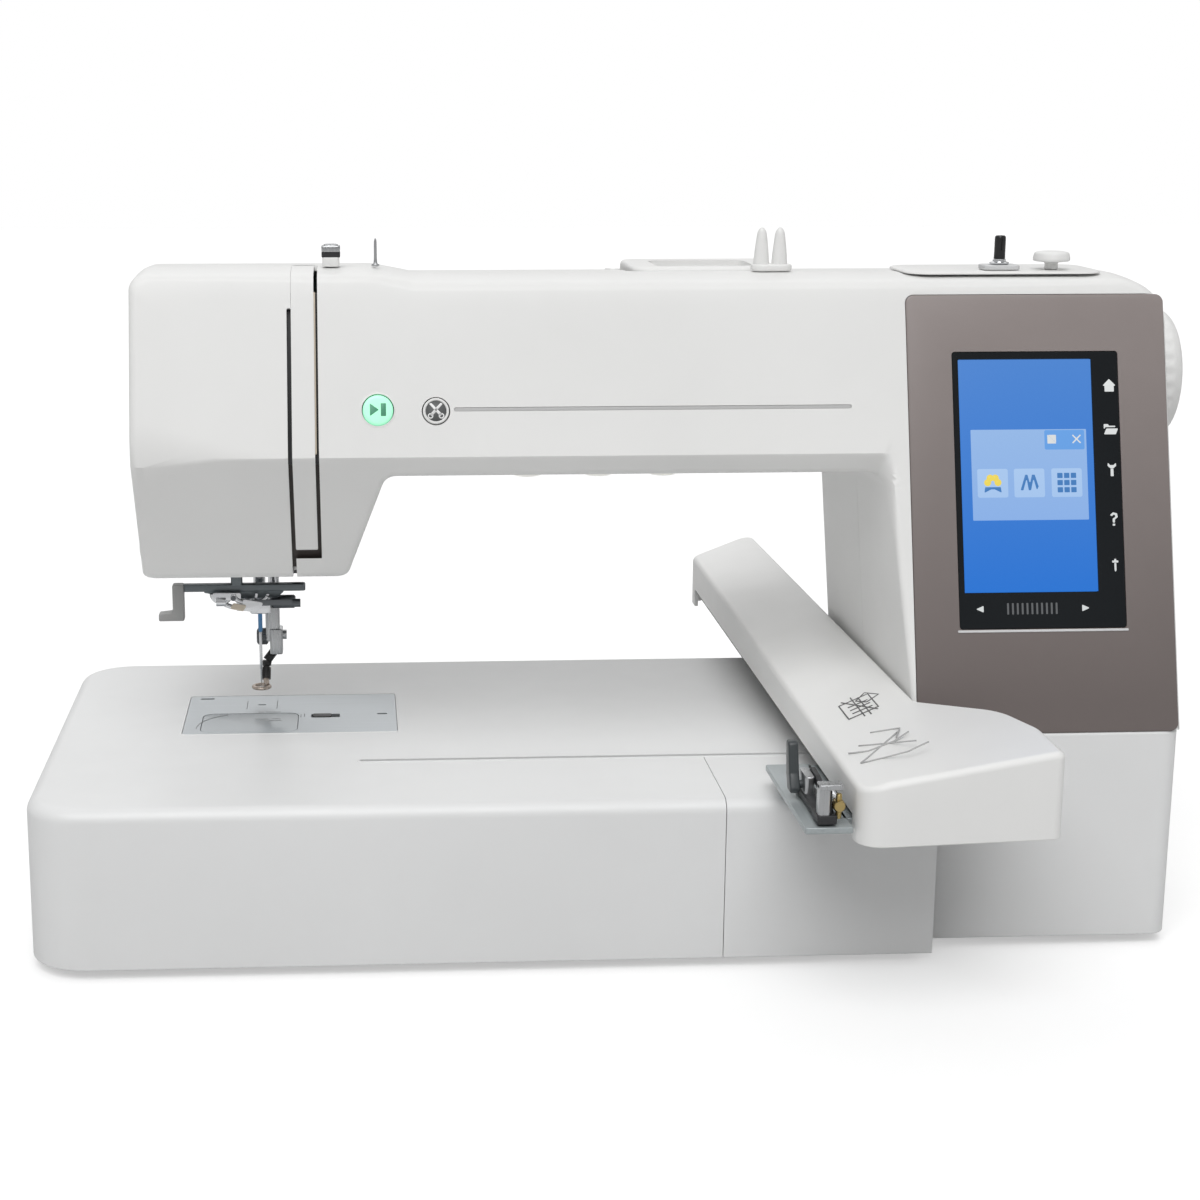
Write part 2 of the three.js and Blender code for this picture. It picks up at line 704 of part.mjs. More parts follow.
function bobbin() {
  const [low, high] = [hookTop - 12, hookTop - 1.6];
  const flange = (z) => rod("z", [needleX, hookY, 0], 10.5, z, z + 1.2, 24);
  const core = rod("z", [needleX, hookY, 0], 4, low, high, 20);
  const bore = rod("z", [needleX, hookY, 0], 3, low - 5, high + 5, 16);
  return cut(join(flange(low), flange(high - 1.2), core), bore);
}

// Top fittings.
const winderX = columnRight - 75;
const stopperX = winderX + 26;
const stopperRadius = 9.1;
const deckFront = frontAt(bodyTop) + 8.35;
const deckRear = deckFront + 52;
const winderY = deckFront + 15;
const deckTop = bodyTop + 1.4;

function winderDeck() {
  return extrude("z", rectangle(winderX - 41, winderX + 49, deckFront, deckRear, 12), bodyTop + gap, deckTop);
}

const postX = handleRight - 10;
const postY = partingDepth - 7;
function threadGuidePost() {
  const tine = (x) => rod("z", [x, postY, 0], 3.6, bodyTop + 1, bodyTop + 21.5, 12, 1.6);
  const foot = block(postX - 9.5, postX + 10.5, postY - 6, postY + 6, bodyTop + 0.4, bodyTop + 3.6);
  return join(foot, tine(postX - 4.5), tine(postX + 4.5));
}

// Embroidery arm.
const armOutline = [
  [armLeft, armFront, 10],
  [armFootRight, armFront + 8, 4],
  [armFootRight, -26, 14],
  [armFootRight - 7, armFootBack - 14, 16],
  [armRight, armFootBack, 3],
  [armRight - armTaper, armBackRight, 8],
  [armLeft, armBackLeft, 8],
];
const armSection = [
  [armLeft - 20, armBottom, 0],
  [armFootRight + 20, armBottom, 0],
  [armFootRight + 20, armTopRight - 2, 0],
  [armRight - 4, armTopRight, 8],
  [armLeft - 1, armTopLeft, 3],
  [armLeft - 20, armTopLeft - 3, 0],
];

function armForm(distance) {
  const low = armBottom - (distance ? 20 : 0);
  const plan = extrude("z", inset(armOutline, distance), low, armTopRight + 10);
  const section = armSection.map(([x, z]) => [x, z > armBottom ? z - distance : low]);
  return plan.intersect(extrude("y", section, armFront - 20, armBackRight + 20));
}

// Slot for the carriage in the arm's left wall: y from, y to, top.
const slideWindow = [armFront + 16, armBackLeft - 14, armBottom + 11];
function armCover() {
  const [from, to, high] = slideWindow;
  const window = block(armLeft - 5, armLeft + armWall + 1, from, to, 60, high);
  return cut(armForm(0), armForm(armWall), window);
}

const railTop = tableTop - 32.8; // the rail under the table that the arm's slider runs on
const railBottom = railTop - 9.6;

// The rail, with the motor that drives the arm along it on a bracket in front.
function armDrive() {
  const rail = block(slotLeft - 6, tableWidth - 5, slotFront - 4, slotFront + 6, railBottom, railTop);
  const motor = block(
    slotLeft + 14,
    slotLeft + 56,
    slotFront - 50.7,
    slotFront - 12.7,
    panTop + 0.2,
    railTop - 3.6,
  );
  const bracket = block(slotLeft + 20, slotLeft + 50, slotFront - 13, slotFront - 3.5, railBottom, railBottom + 4);
  return join(rail, motor, bracket);
}

function armChassis() {
  const [front, rear] = [armFront + 16, armBackLeft - 12];
  const chassisRight = armRight - armTaper - 4;
  const plate = block(armLeft + 14, chassisRight, front, rear, armBottom + 1, armBottom + 3.5);
  const rail = block(armLeft + 26, armLeft + 34, front + 4, rear - 4, armBottom + 3, armBottom + 12);
  const slotRear = slotFront + slotWidth;
  const neck = block(armLeft + 14.5, armLeft + 34.5, slotFront + 1, slotRear - 1, railTop + 8, armBottom + 2);
  const slider = block(armLeft + 9.5, armLeft + 41.5, slotFront - 5, slotFront + 8, railTop + 0.4, railTop + 9);
  return join(plate, rail, neck, slider);
}

const carriageFront = armFront + 6;
const carriageRear = carriageFront + 95;
const carriageLeft = armLeft - 22.5;
const carriageBottom = armBottom + 5;
const carriageTop = carriageBottom + 3.6;
const hoopPivotY = carriageFront + 42;
const hoopPivotZ = armBottom + 15;
const hoopPivotRadius = 1.9;
const leverLeft = carriageLeft + 0.6;
const leverRight = leverLeft + 4.4;

function hoopCarriage() {
  const [front, rear] = [carriageFront, carriageRear];
  const plate = block(carriageLeft, armLeft - 1.6, front, rear, carriageBottom, carriageTop);
  const tongue = block(armLeft - 2.6, armLeft + 16, front + 14, rear - 2, carriageBottom, carriageTop);
  const shoe = block(armLeft + 5, armLeft + 24, front + 24, rear - 14, carriageBottom, carriageTop + 5.4);
  const leverNotch = block(leverLeft - 6, leverRight, hoopPivotY - 12, hoopPivotY, armBottom, armBottom + 12);
  return cut(join(plate, tongue, shoe), leverNotch);
}

function hoopBlock() {
  const left = leverRight + 0.8;
  const bottom = carriageTop + gap;
  const base = block(left, left + 7.8, carriageFront + 2, hoopPivotY + 14, bottom, bottom + 4.1);
  const post = block(left + 0.4, left + 4.8, carriageFront + 3, carriageFront + 10, bottom + 3, hoopPivotZ + 11);
  const ear = block(left + 0.6, left + 5, hoopPivotY - 8, hoopPivotY + 8, bottom + 3, hoopPivotZ + 5);
  const bore = rod("x", [0, hoopPivotY, hoopPivotZ], hoopPivotRadius + gap, left - 10, left + 30, 12);
  return cut(join(base, post, ear), bore);
}

function hoopLever() {
  const pivot = rod("x", [0, hoopPivotY, hoopPivotZ], hoopPivotRadius, leverLeft, leverRight + 4.9, 12);
  const arm = extrude("x", [
    [hoopPivotY - 4, hoopPivotZ - 3, 2],
    [hoopPivotY + 6, hoopPivotZ - 3, 2],
    [hoopPivotY + 10, hoopPivotZ + 15, 2],
    [hoopPivotY + 4, hoopPivotZ + 17, 2],
  ], leverLeft, leverRight);
  return join(pivot, arm);
}

// The assembly.
add("base_pan", basePan(), "greyShell");
const footShape = () => rod("z", [0, 0, 0], footRadius - 1, 0, footHeight, 20, footRadius);
[
  [42, 40],
  [42, tableDepth - 39],
  [columnRight - 43, columnFront + 29.5],
  [columnRight - 43, bodyRear - 28],
].forEach(([x, y], i) =>
  add("foot_" + (i + 1), footShape(), "rubber", root, [x, y, 0]),
);
add("bed_cover", bedCover(), "shell");
add("unit_cover", unitCover(), "shell");
add("column_base_cover", columnBaseCover(), "shell");
add("front_cover", frontCover(), "shell");
add("rear_cover", rearCover(), "shell");
const faceOutline = rectangle(partingDepth - 13, bodyRear - 14, headBottom + 8, bodyTop - 11.5, 8);
add("handle_tray", handleTray(), "shell");
add("face_cover", extrude("x", faceOutline, headLeft - 1.8, headLeft - gap), "shell");
add("machine_frame", machineFrame(), "castAlloy");

add(
  "thread_channel_strip",
  threadStrip(),
  "shell",
);
const panelOutline = rectangle(panelLeft, panelRight, upFront(columnBaseTop + 0.6), upFront(panelTop), 4);
add(
  "control_panel",
  cut(
    extrude("y", panelOutline, 0, panelThickness),
    frontBlock(bezelLeft, bezelRight, -2, 4, bezelBottom, bezelTop),
  ),
  "taupe",
  frontGroup,
);
add(
  "screen_bezel",
  cut(
    frontBlock(bezelLeft + gap, bezelRight - gap, 0.2, 5, bezelBottom + gap, bezelTop - gap),
    frontBlock(lcdLeft, lcdRight, -2, 3.2, lcdBottom, lcdTop),
  ),
  "blackGloss",
  frontGroup,
);
add(
  "lcd_panel",
  frontBlock(lcdLeft + gap, lcdRight - gap, 0.6, 2.9, lcdBottom + gap, lcdTop - gap),
  "screen",
  frontGroup,
);
add(
  "start_button",
  rod("y", [0, 0, 0], startRadius - runningGap, -1, 6, 28, startRadius - runningGap),
  "mint",
  frontGroup,
  [startX, 0, upFront(startZ)],
);
add(
  "thread_cutter_button",
  rod("y", [0, 0, 0], cutterRadius - runningGap, -0.8, 6, 28),
  "shell",
  frontGroup,
  [cutterX, 0, upFront(cutterZ)],
);

const plateBottom = tableTop - plateThickness;
const bobbinCover = [needleX - 30, needleX + 20, plateFront + 3, hookY + 10];
const lidThickness = 1.6;
const needleHole = rod("z", [needleX, needleY, 0], 2.5, tableTop - 20, tableTop + 20, 16);
const releaseSlot = [needleX + 27.6, needleX + 37.6, hookY + 0.6, hookY + 6.6];
const plateCut = ([left, right, front, rear], before, after) =>
  block(left - before, right + after, front - gap, rear + gap, tableTop - 12, tableTop + 8);
const plateOutline = rectangle(plateLeft + gap, plateRight - gap, plateFront + gap, plateRear - gap, 2);
add(
  "needle_plate",
  cut(
    extrude("z", plateOutline, plateBottom, tableTop),
    needleHole,
    plateCut(bobbinCover, gap, gap),
    plateCut(releaseSlot, 1, 5),
  ),
  "steel",
);
add("bobbin_cover", extrude("z", rectangle(...bobbinCover, 6), tableTop - lidThickness, tableTop), "clear");
add("cover_release", block(...releaseSlot, tableTop - lidThickness, tableTop + 0.6), "blackMatte");
add("rotary_hook", hook(), "steel");
add("bobbin", bobbin(), "clear");

bearingStations.forEach((x, i) =>
  add(
    "shaft_bearing_" + (i + 1),
    cut(
      rod("x", [0, 0, 0], bearingRadius - 0.2, -bearingLength / 2, bearingLength / 2, 24),
      rod("x", [0, 0, 0], shaftRadius + 0.25, -20, 20, 24),
    ),
    "steel",
    root,
    [x, shaftY, shaftZ],
  ),
);
add("main_shaft", mainShaft(), "steel");
add("handwheel", handwheel(), "shell");
add("main_pulley", pulley(pulleyStation, shaftY, shaftZ, mainPulleyRadius, shaftRadius + 0.1), "blackMatte");
add("motor_pulley", pulley(pulleyStation, shaftY, motorZ, motorPulleyRadius, 3.3), "blackMatte");
add(
  "drive_motor",
  join(
    rod("x", [0, shaftY, motorZ], motorRadius, pulleyStation + 10, columnRight - wall - 5.4, 28),
    rod("x", [0, shaftY, motorZ], 3, pulleyStation - 8, pulleyStation + 12, 16),
  ),
  "castAlloy",
);
add("drive_belt", belt(pulleyStation, shaftZ, mainPulleyRadius, motorZ, motorPulleyRadius), "rubber");
add("timing_belt", belt(timingStation, shaftZ, timingRadius, lowerShaftZ, timingRadius), "rubber");
add("lower_shaft", lowerShaft(), "steel");

add("needle_bar", rod("z", [needleX, needleY, 0], barRadius, clampTop - 8, bodyTop - 21.5, 20), "chrome");
add(
  "needle_clamp",
  cut(
    join(
      block(needleX - 5, needleX + 6, needleY - 5.5, needleY + 5.5, clampBottom, clampTop),
      rod("x", [0, needleY, (clampBottom + clampTop) / 2], 3, needleX + 5, needleX + 19, 16),
    ),
    rod("z", [needleX, needleY, 0], barRadius + 0.1, clampTop - 8.2, clampTop + 5, 20),
  ),
  "chrome",
);
add("needle", needle(), "chrome");
add("presser_bar", rod("z", [presserX, presserY, 0], presserRadius, barSocket + gap, bodyTop - 25.5, 16), "chrome");
add("presser_foot", presserFoot(), "blackMatte");
add("take_up_lever", takeUpLever(), "chrome");
add("needle_threader", threader(), "blackMatte");
add("lifter_lever", lifterLever(), "blackMatte");

const boardRear = frameFront - 16;
add(
  "control_board",
  block(tableWidth + 13, columnRight - 12, boardRear - 2, boardRear, columnBaseTop + 13, columnBaseTop + 113),
  "board",
);
const inletBlock = (by, from, to) => {
  const [half, halfHeight] = [inletHalf - by, inletHalfHeight - by];
  return block(from, to, inletY - half, inletY + half, inletZ - halfHeight, inletZ + halfHeight);
};
add(
  "mains_inlet",
  cut(inletBlock(0, columnRight - 16, columnRight + 0.4), inletBlock(2.5, columnRight - 12, columnRight + 4)),
  "blackMatte",
);
const rocker = [
  [columnRight - 8, inletZ - 8, 1],
  [columnRight + 1, inletZ - switchHalfHeight + 0.8, 0.6],
  [columnRight - 0.6, inletZ, 0],
  [columnRight + 0.2, inletZ + switchHalfHeight - 0.8, 0.6],
  [columnRight - 8, inletZ + 8, 1],
];
const rockerHalf = switchHalf - runningGap;
add("power_switch", extrude("y", rocker, switchY - rockerHalf, switchY + rockerHalf), "blackMatte");

const lampLeft = headSlopeRight + 19.5;
const lampFront = frontAt(creaseHeight) + 26.8;
const lampOutline = rectangle(lampLeft, lampLeft + 72, lampFront, lampFront + 22, 5);
add("lamp_lens", extrude("z", lampOutline, throatTop - wall, throatTop - gap), "lens");

add("winder_deck", winderDeck(), "shell");
add("thread_guide_post", threadGuidePost(), "shell");
const guideX = stripRight + 8.3;
const guideY = frontAt(headCapTop) + 25.15;
add(
  "pretension_guide",
  join(
    block(guideX - 4.5, guideX + 4.5, guideY - 5, guideY + 5, headCapTop + gap, headCapTop + 5),
    rod("x", [0, guideY, headCapTop + 7], 4, guideX - 4.4, guideX + 4.4, 16),
  ),
  "steel",
);
const pinFoot = headCapTop + gap;
const pinPlace = [headCapRight + 2, guideY, 0];
add("thread_pin", rod("z", [0, 0, 0], 1.4, pinFoot, pinFoot + 13, 12, 1), "steel", root, pinPlace);
add(
  "winder_stopper",
  join(
    rod("z", [stopperX, winderY, 0], 3, deckTop + 0.1, deckTop + 2.3, 16),
    rod("z", [stopperX, winderY, 0], stopperRadius, deckTop + 2.1, deckTop + 7.3, 24, stopperRadius - 2.4),
  ),
  "shell",
);
const carriageHigh = deckTop + 2.6;
add(
  "winder_carriage",
  block(winderX - 9, winderX + 9, winderY - 7, winderY + 7, deckTop + gap, carriageHigh),
  "blackMatte",
);
add(
  "winder_spindle",
  join(
    rod("z", [winderX, winderY, 0], 5, carriageHigh + gap, carriageHigh + 2.4, 16),
    rod("z", [winderX, winderY, 0], 2.6, carriageHigh + 2.2, carriageHigh + 10.7, 12),
  ),
  "steel",
);

const gripHole = rectangle(
  handleLeft + handleSideBar,
  handleRight - handleSideBar,
  handleFront + handleHingeBar,
  handleRear - handleGripBar,
  4,
);
const handleOutline = rectangle(handleLeft, handleRight, handleFront, handleRear, 8);
add(
  "carry_handle",
  cut(
    extrude("z", handleOutline, handleTop - handleThickness, handleTop),
    extrude("z", gripHole, handleTop - handleThickness - 5, handleTop + 5),
  ),
  "shell",
);

add("x_rail", armDrive(), "steel");
add("arm_cover", armCover(), "shell");
add("arm_chassis", armChassis(), "castAlloy");
add("hoop_carriage", hoopCarriage(), "castAlloy");
add("hoop_clamp", hoopBlock(), "steel");
add("hoop_lever", hoopLever(), "blackMatte");

// The origin goes to the bottom centre of the whole machine's box.
const box = new THREE.Box3().setFromObject(root);
const centre = box.getCenter(new THREE.Vector3());
root.position.set(-centre.x, -centre.y, -box.min.z);

export default root;
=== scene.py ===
import math
import bmesh
import bpy
import numpy as np
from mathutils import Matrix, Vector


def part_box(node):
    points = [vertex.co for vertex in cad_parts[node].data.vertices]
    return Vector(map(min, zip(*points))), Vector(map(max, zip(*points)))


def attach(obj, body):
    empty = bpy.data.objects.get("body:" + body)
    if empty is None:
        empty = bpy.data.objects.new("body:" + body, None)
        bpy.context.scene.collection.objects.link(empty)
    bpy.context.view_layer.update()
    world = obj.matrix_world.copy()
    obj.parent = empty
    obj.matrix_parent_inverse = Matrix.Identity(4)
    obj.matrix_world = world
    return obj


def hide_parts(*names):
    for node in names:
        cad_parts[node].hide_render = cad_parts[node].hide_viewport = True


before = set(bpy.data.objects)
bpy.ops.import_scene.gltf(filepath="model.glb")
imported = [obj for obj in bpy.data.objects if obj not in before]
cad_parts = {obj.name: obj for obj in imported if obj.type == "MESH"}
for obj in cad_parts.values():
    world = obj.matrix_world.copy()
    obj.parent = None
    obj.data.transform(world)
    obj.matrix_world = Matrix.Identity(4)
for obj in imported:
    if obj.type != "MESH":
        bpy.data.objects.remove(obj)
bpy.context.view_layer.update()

# Layout: millimetres from the table's front left corner, z from the ground, as the machine is drawn.
bedLow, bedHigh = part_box("bed_cover")
corner = np.array([bedLow.x, bedLow.y, 0.0])


def toFrame(points):
    # millimetres in the layout -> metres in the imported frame
    return np.asarray(points, float) * 0.001 + corner


def layoutBox(node):
    # a node's lowest and highest corner, in layout millimetres
    low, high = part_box(node)
    return (np.array(low) - corner) * 1000, (np.array(high) - corner) * 1000


# camera first: it looks slightly right and down at the whole machine
camera = {
    "place": (155.3, -969.1, 401.9),
    "yaw": 0.056,  # radians towards +x
    "pitch": 0.225,  # radians down
    "lens": 66.0,
    "shift": 0.1036,
}


def placeCamera(c):
    data = bpy.data.cameras.new("camera")
    data.lens = c["lens"]
    data.sensor_width = 36
    data.shift_x = c["shift"]
    data.clip_end = 20
    cam = bpy.data.objects.new("camera", data)
    bpy.context.scene.collection.objects.link(cam)
    cam.location = toFrame(c["place"])
    cam.rotation_euler = (math.pi / 2 - c["pitch"], 0, -c["yaw"])
    bpy.context.scene.camera = cam


placeCamera(camera)
bpy.context.scene.view_settings.view_transform = "Standard"
print("camera placed")


# mesh helpers
def putMesh(name, points, faces):
    # points (n, 3) in layout millimetres; faces is a list of index arrays, one row for each face
    mesh = bpy.data.meshes.new(name)
    points = toFrame(points)
    corners = np.concatenate([f.ravel() for f in faces]).astype(np.int32)
    counts = np.concatenate([np.full(len(f), f.shape[1]) for f in faces]).astype(np.int32)
    mesh.vertices.add(len(points))
    mesh.vertices.foreach_set("co", points.astype(np.float32).ravel())
    mesh.loops.add(len(corners))
    mesh.loops.foreach_set("vertex_index", corners)
    mesh.polygons.add(len(counts))
    mesh.polygons.foreach_set("loop_start", np.concatenate([[0], np.cumsum(counts)[:-1]]).astype(np.int32))
    mesh.update(calc_edges=True)
    mesh.validate()
    obj = bpy.data.objects.new(name, mesh)
    bpy.context.scene.collection.objects.link(obj)
    return obj


def faceOutwards(obj):
    work = bmesh.new()
    work.from_mesh(obj.data)
    bmesh.ops.recalc_face_normals(work, faces=work.faces)
    work.to_mesh(obj.data)
    work.free()


def ringStack(name, rings, closed=False):
    # rings (m, n, 3): m closed loops of n points, joined one to the next, ends closed with one face each
    m, n = rings.shape[:2]
    index = np.arange(m * n).reshape(m, n)
    after = np.roll(index, -1, axis=1)
    rows = np.concatenate([index, index[:1]]) if closed else index
    rowsAfter = np.concatenate([after, after[:1]]) if closed else after
    quads = np.stack([rows[:-1], rowsAfter[:-1], rowsAfter[1:], rows[1:]], axis=-1).reshape(-1, 4)
    faces = [quads]
    if not closed:
        faces += [index[:1, ::-1], index[-1:]]
    obj = putMesh(name, rings.reshape(-1, 3), faces)
    faceOutwards(obj)
    return obj


def smooth(obj, angle=32):
    obj.data.shade_smooth()
    obj.data.set_sharp_from_angle(angle=math.radians(angle))
    return obj


def applied(obj):
    # bakes an object's modifiers into its own mesh
    graph = bpy.context.evaluated_depsgraph_get()
    mesh = bpy.data.meshes.new_from_object(obj.evaluated_get(graph))
    obj.modifiers.clear()
    obj.data = mesh
    return obj


def twin(obj, name):
    # a second object with a mesh of its own
    other = obj.copy()
    other.data = obj.data.copy()
    other.name = name
    bpy.context.scene.collection.objects.link(other)
    return other


def carve(obj, cutters, operation="DIFFERENCE"):
    # cuts, or keeps what is common, one cutter after another
    for cutter in cutters:
        step = obj.modifiers.new("cut", "BOOLEAN")
        step.solver = "EXACT"
        step.operation = operation
        step.object = cutter
        applied(obj)
        bpy.data.objects.remove(cutter)
    return obj


def roundedOutline(corners, perArc=6):
    # corners (x, y, radius) -> points and outward normals of a closed outline; a round stretch is
    # centre + radius * (cos a, sin a), with a running evenly from one side's normal to the next side's
    c = np.array([[p[0], p[1]] for p in corners], float)
    radii = np.array([max(p[2], 0.25) for p in corners])
    turn = np.sign(np.sum(c[:, 0] * np.roll(c[:, 1], -1) - c[:, 1] * np.roll(c[:, 0], -1)))
    points, normals = [], []
    for i in range(len(c)):
        a, b, d = c[i - 1], c[i], c[(i + 1) % len(c)]
        inDir = (b - a) / np.linalg.norm(b - a)
        outDir = (d - b) / np.linalg.norm(d - b)
        nIn = np.array([inDir[1], -inDir[0]]) * turn
        nOut = np.array([outDir[1], -outDir[0]]) * turn
        cross = (inDir[0] * outDir[1] - inDir[1] * outDir[0]) * turn
        half = math.acos(np.clip(np.dot(nIn, nOut), -1, 1)) / 2
        side = 1 if cross > 0 else -1
        centre = b - side * (nIn + nOut) / np.linalg.norm(nIn + nOut) * radii[i] / math.cos(half)
        t = np.linspace(0, 1, perArc + 1)
        start = math.atan2(nIn[1], nIn[0])
        sweep = (math.atan2(nOut[1], nOut[0]) - start + math.pi) % (2 * math.pi) - math.pi
        direction = np.stack([np.cos(start + sweep * t), np.sin(start + sweep * t)], axis=1)
        points.append(centre + side * radii[i] * direction)
        normals.append(direction)
    return np.concatenate(points), np.concatenate(normals)


def turnTo(axis, flat):
    # (u, v, h) -> x, y, z: "z" keeps it, "y" makes v the height and h the depth, "x" makes h the x
    u, v, h = flat[..., 0], flat[..., 1], flat[..., 2]
    order = {"z": (u, v, h), "y": (u, h, v), "x": (h, u, v)}[axis]
    return np.stack(order, axis=-1)


def edgeProfile(low, high, lowEdge, highEdge, steps=5):
    # heights and insets of a slab whose two rims are quarter rounds:
    # inset = r (1 - sin a), height = end -/+ r (1 - cos a)
    a = np.linspace(0, math.pi / 2, steps)
    down = np.stack([lowEdge * (1 - np.sin(a)), low + lowEdge * (1 - np.cos(a))], axis=1)
    up = np.stack([highEdge * (1 - np.sin(a)), high - highEdge * (1 - np.cos(a))], axis=1)
    return np.concatenate([down, up[::-1]])


def slab(name, corners, low, high, edges=(0.4, 0.4), axis="z", place=None, perArc=6, steps=5):
    # an outline carried through edgeProfile: point = outline - normal * inset, at each height
    points, normals = roundedOutline(corners, perArc)
    profile = edgeProfile(low, high, max(edges[0], 0.02), max(edges[1], 0.02), steps)
    flat = points[None] - normals[None] * profile[:, :1, None]
    heights = np.broadcast_to(profile[:, 1][:, None, None], flat.shape[:2] + (1,))
    rings = turnTo(axis, np.concatenate([flat, heights], axis=-1))
    if place:
        rings = place(rings)
    return ringStack(name, rings)


def rectangle(a0, a1, b0, b1, radius=0.3):
    return [(a0, b0, radius), (a1, b0, radius), (a1, b1, radius), (a0, b1, radius)]


def turned(name, profile, axis, centre, segments=64, place=None, closed=False):
    # a profile (radius, station) turned about an axis: (r cos a, r sin a, station)
    profile = np.array(profile, float)
    a = np.linspace(0, 2 * math.pi, segments, endpoint=False)
    radius = np.maximum(profile[:, 0], 0.02)[:, None]
    flat = np.stack(
        [radius * np.cos(a), radius * np.sin(a), np.broadcast_to(profile[:, 1:2], (len(profile), segments))],
        axis=-1
    )
    rings = turnTo(axis, flat) + np.array(centre, float)
    if place:
        rings = place(rings)
    return ringStack(name, rings, closed=closed)


def softTurn(points, steps=4, share=0.35):
    # rounds a turned profile's corners: a quadratic curve from just before each corner to just after it
    p = np.array(points, float)
    rounded = [p[:1]]
    t = np.linspace(0, 1, steps)[:, None]
    for i in range(1, len(p) - 1):
        before = p[i] + (p[i - 1] - p[i]) * share
        after = p[i] + (p[i + 1] - p[i]) * share
        rounded.append((1 - t) ** 2 * before + 2 * t * (1 - t) * p[i] + t ** 2 * after)
    rounded.append(p[-1:])
    return np.concatenate(rounded)


def along(name, path, radius, segments=16):
    # a round bar along a path of points: path + r (cos a side + sin a up), sides square to the path
    path = np.array(path, float)
    tangent = np.gradient(path, axis=0)
    tangent /= np.linalg.norm(tangent, axis=1, keepdims=True)
    helper = np.where(np.abs(tangent[:, 2:3]) > 0.9, np.array([[1.0, 0, 0]]), np.array([[0, 0, 1.0]]))
    side = np.cross(tangent, helper)
    side /= np.linalg.norm(side, axis=1, keepdims=True)
    up = np.cross(side, tangent)
    a = np.linspace(0, 2 * math.pi, segments, endpoint=False)[None, :, None]
    radius = np.broadcast_to(np.asarray(radius, float), (len(path),))[:, None, None]
    rings = path[:, None] + radius * (np.cos(a) * side[:, None] + np.sin(a) * up[:, None])
    return ringStack(name, rings)


def joined(name, objects):
    # one piece from several closed ones
    meshes = [o.data for o in objects]
    work = bmesh.new()
    for o in objects:
        work.from_mesh(o.data)
    mesh = bpy.data.meshes.new(name)
    work.to_mesh(mesh)
    work.free()
    for o in objects:
        bpy.data.objects.remove(o)
    for m in meshes:
        bpy.data.meshes.remove(m)
    obj = bpy.data.objects.new(name, mesh)
    bpy.context.scene.collection.objects.link(obj)
    return obj


# materials: every finish is a node tree on Object coordinates
def newMaterial(name):
    mat = bpy.data.materials.new(name)
    mat.use_nodes = True
    nodes, links = mat.node_tree.nodes, mat.node_tree.links
    shader = nodes["Principled BSDF"]
    place = nodes.new("ShaderNodeTexCoord")
    return mat, nodes, links, shader, place


def noiseNode(nodes, links, place, scale, detail=4.0, stretch=None):
    noise = nodes.new("ShaderNodeTexNoise")
    noise.inputs["Scale"].default_value = scale
    noise.inputs["Detail"].default_value = detail
    source = place.outputs["Object"]
    if stretch:
        mapping = nodes.new("ShaderNodeMapping")
        mapping.inputs["Scale"].default_value = stretch
        links.new(source, mapping.inputs["Vector"])
        source = mapping.outputs["Vector"]
    links.new(source, noise.inputs["Vector"])
    return noise


def rampNode(nodes, links, source, low, high):
    ramp = nodes.new("ShaderNodeMapRange")
    ramp.inputs["From Min"].default_value = 0.3
    ramp.inputs["From Max"].default_value = 0.7
    ramp.inputs["To Min"].default_value = low
    ramp.inputs["To Max"].default_value = high
    links.new(source, ramp.inputs["Value"])
    return ramp.outputs["Result"]


def mixColour(nodes, links, factor, first, second):
    mix = nodes.new("ShaderNodeMix")
    mix.data_type = "RGBA"
    links.new(factor, mix.inputs["Factor"])
    for socket, value in (("A", first), ("B", second)):
        target = [s for s in mix.inputs if s.name == socket and s.type == "RGBA"][0]
        if isinstance(value, tuple):
            target.default_value = (*value, 1)
        else:
            links.new(value, target)
    return [s for s in mix.outputs if s.type == "RGBA"][0]


def bumpFrom(nodes, links, shader, height, strength, distance):
    bump = nodes.new("ShaderNodeBump")
    bump.inputs["Strength"].default_value = strength
    bump.inputs["Distance"].default_value = distance
    links.new(height, bump.inputs["Height"])
    links.new(bump.outputs["Normal"], shader.inputs["Normal"])


def mouldedPlastic(name, colour, roughness=0.4, spread=0.02, grain=900.0, bump=0.12):
    # colour +- a little from a wide noise; roughness from a middle noise; fine spark-eroded grain as bump
    mat, nodes, links, shader, place = newMaterial(name)
    wide = noiseNode(nodes, links, place, 9.0, 3.0)
    darker = tuple(max(0.0, c * (1 - spread)) for c in colour)
    lighter = tuple(min(1.0, c * (1 + spread)) for c in colour)
    shade = rampNode(nodes, links, wide.outputs["Fac"], 0, 1)
    links.new(mixColour(nodes, links, shade, darker, lighter), shader.inputs["Base Color"])
    middle = noiseNode(nodes, links, place, 60.0, 5.0)
    rough = rampNode(nodes, links, middle.outputs["Fac"], roughness - 0.04, roughness + 0.05)
    links.new(rough, shader.inputs["Roughness"])
    fine = noiseNode(nodes, links, place, grain, 2.0)
    bumpFrom(nodes, links, shader, fine.outputs["Fac"], bump, 0.00012)
    shader.inputs["IOR"].default_value = 1.48
    return mat


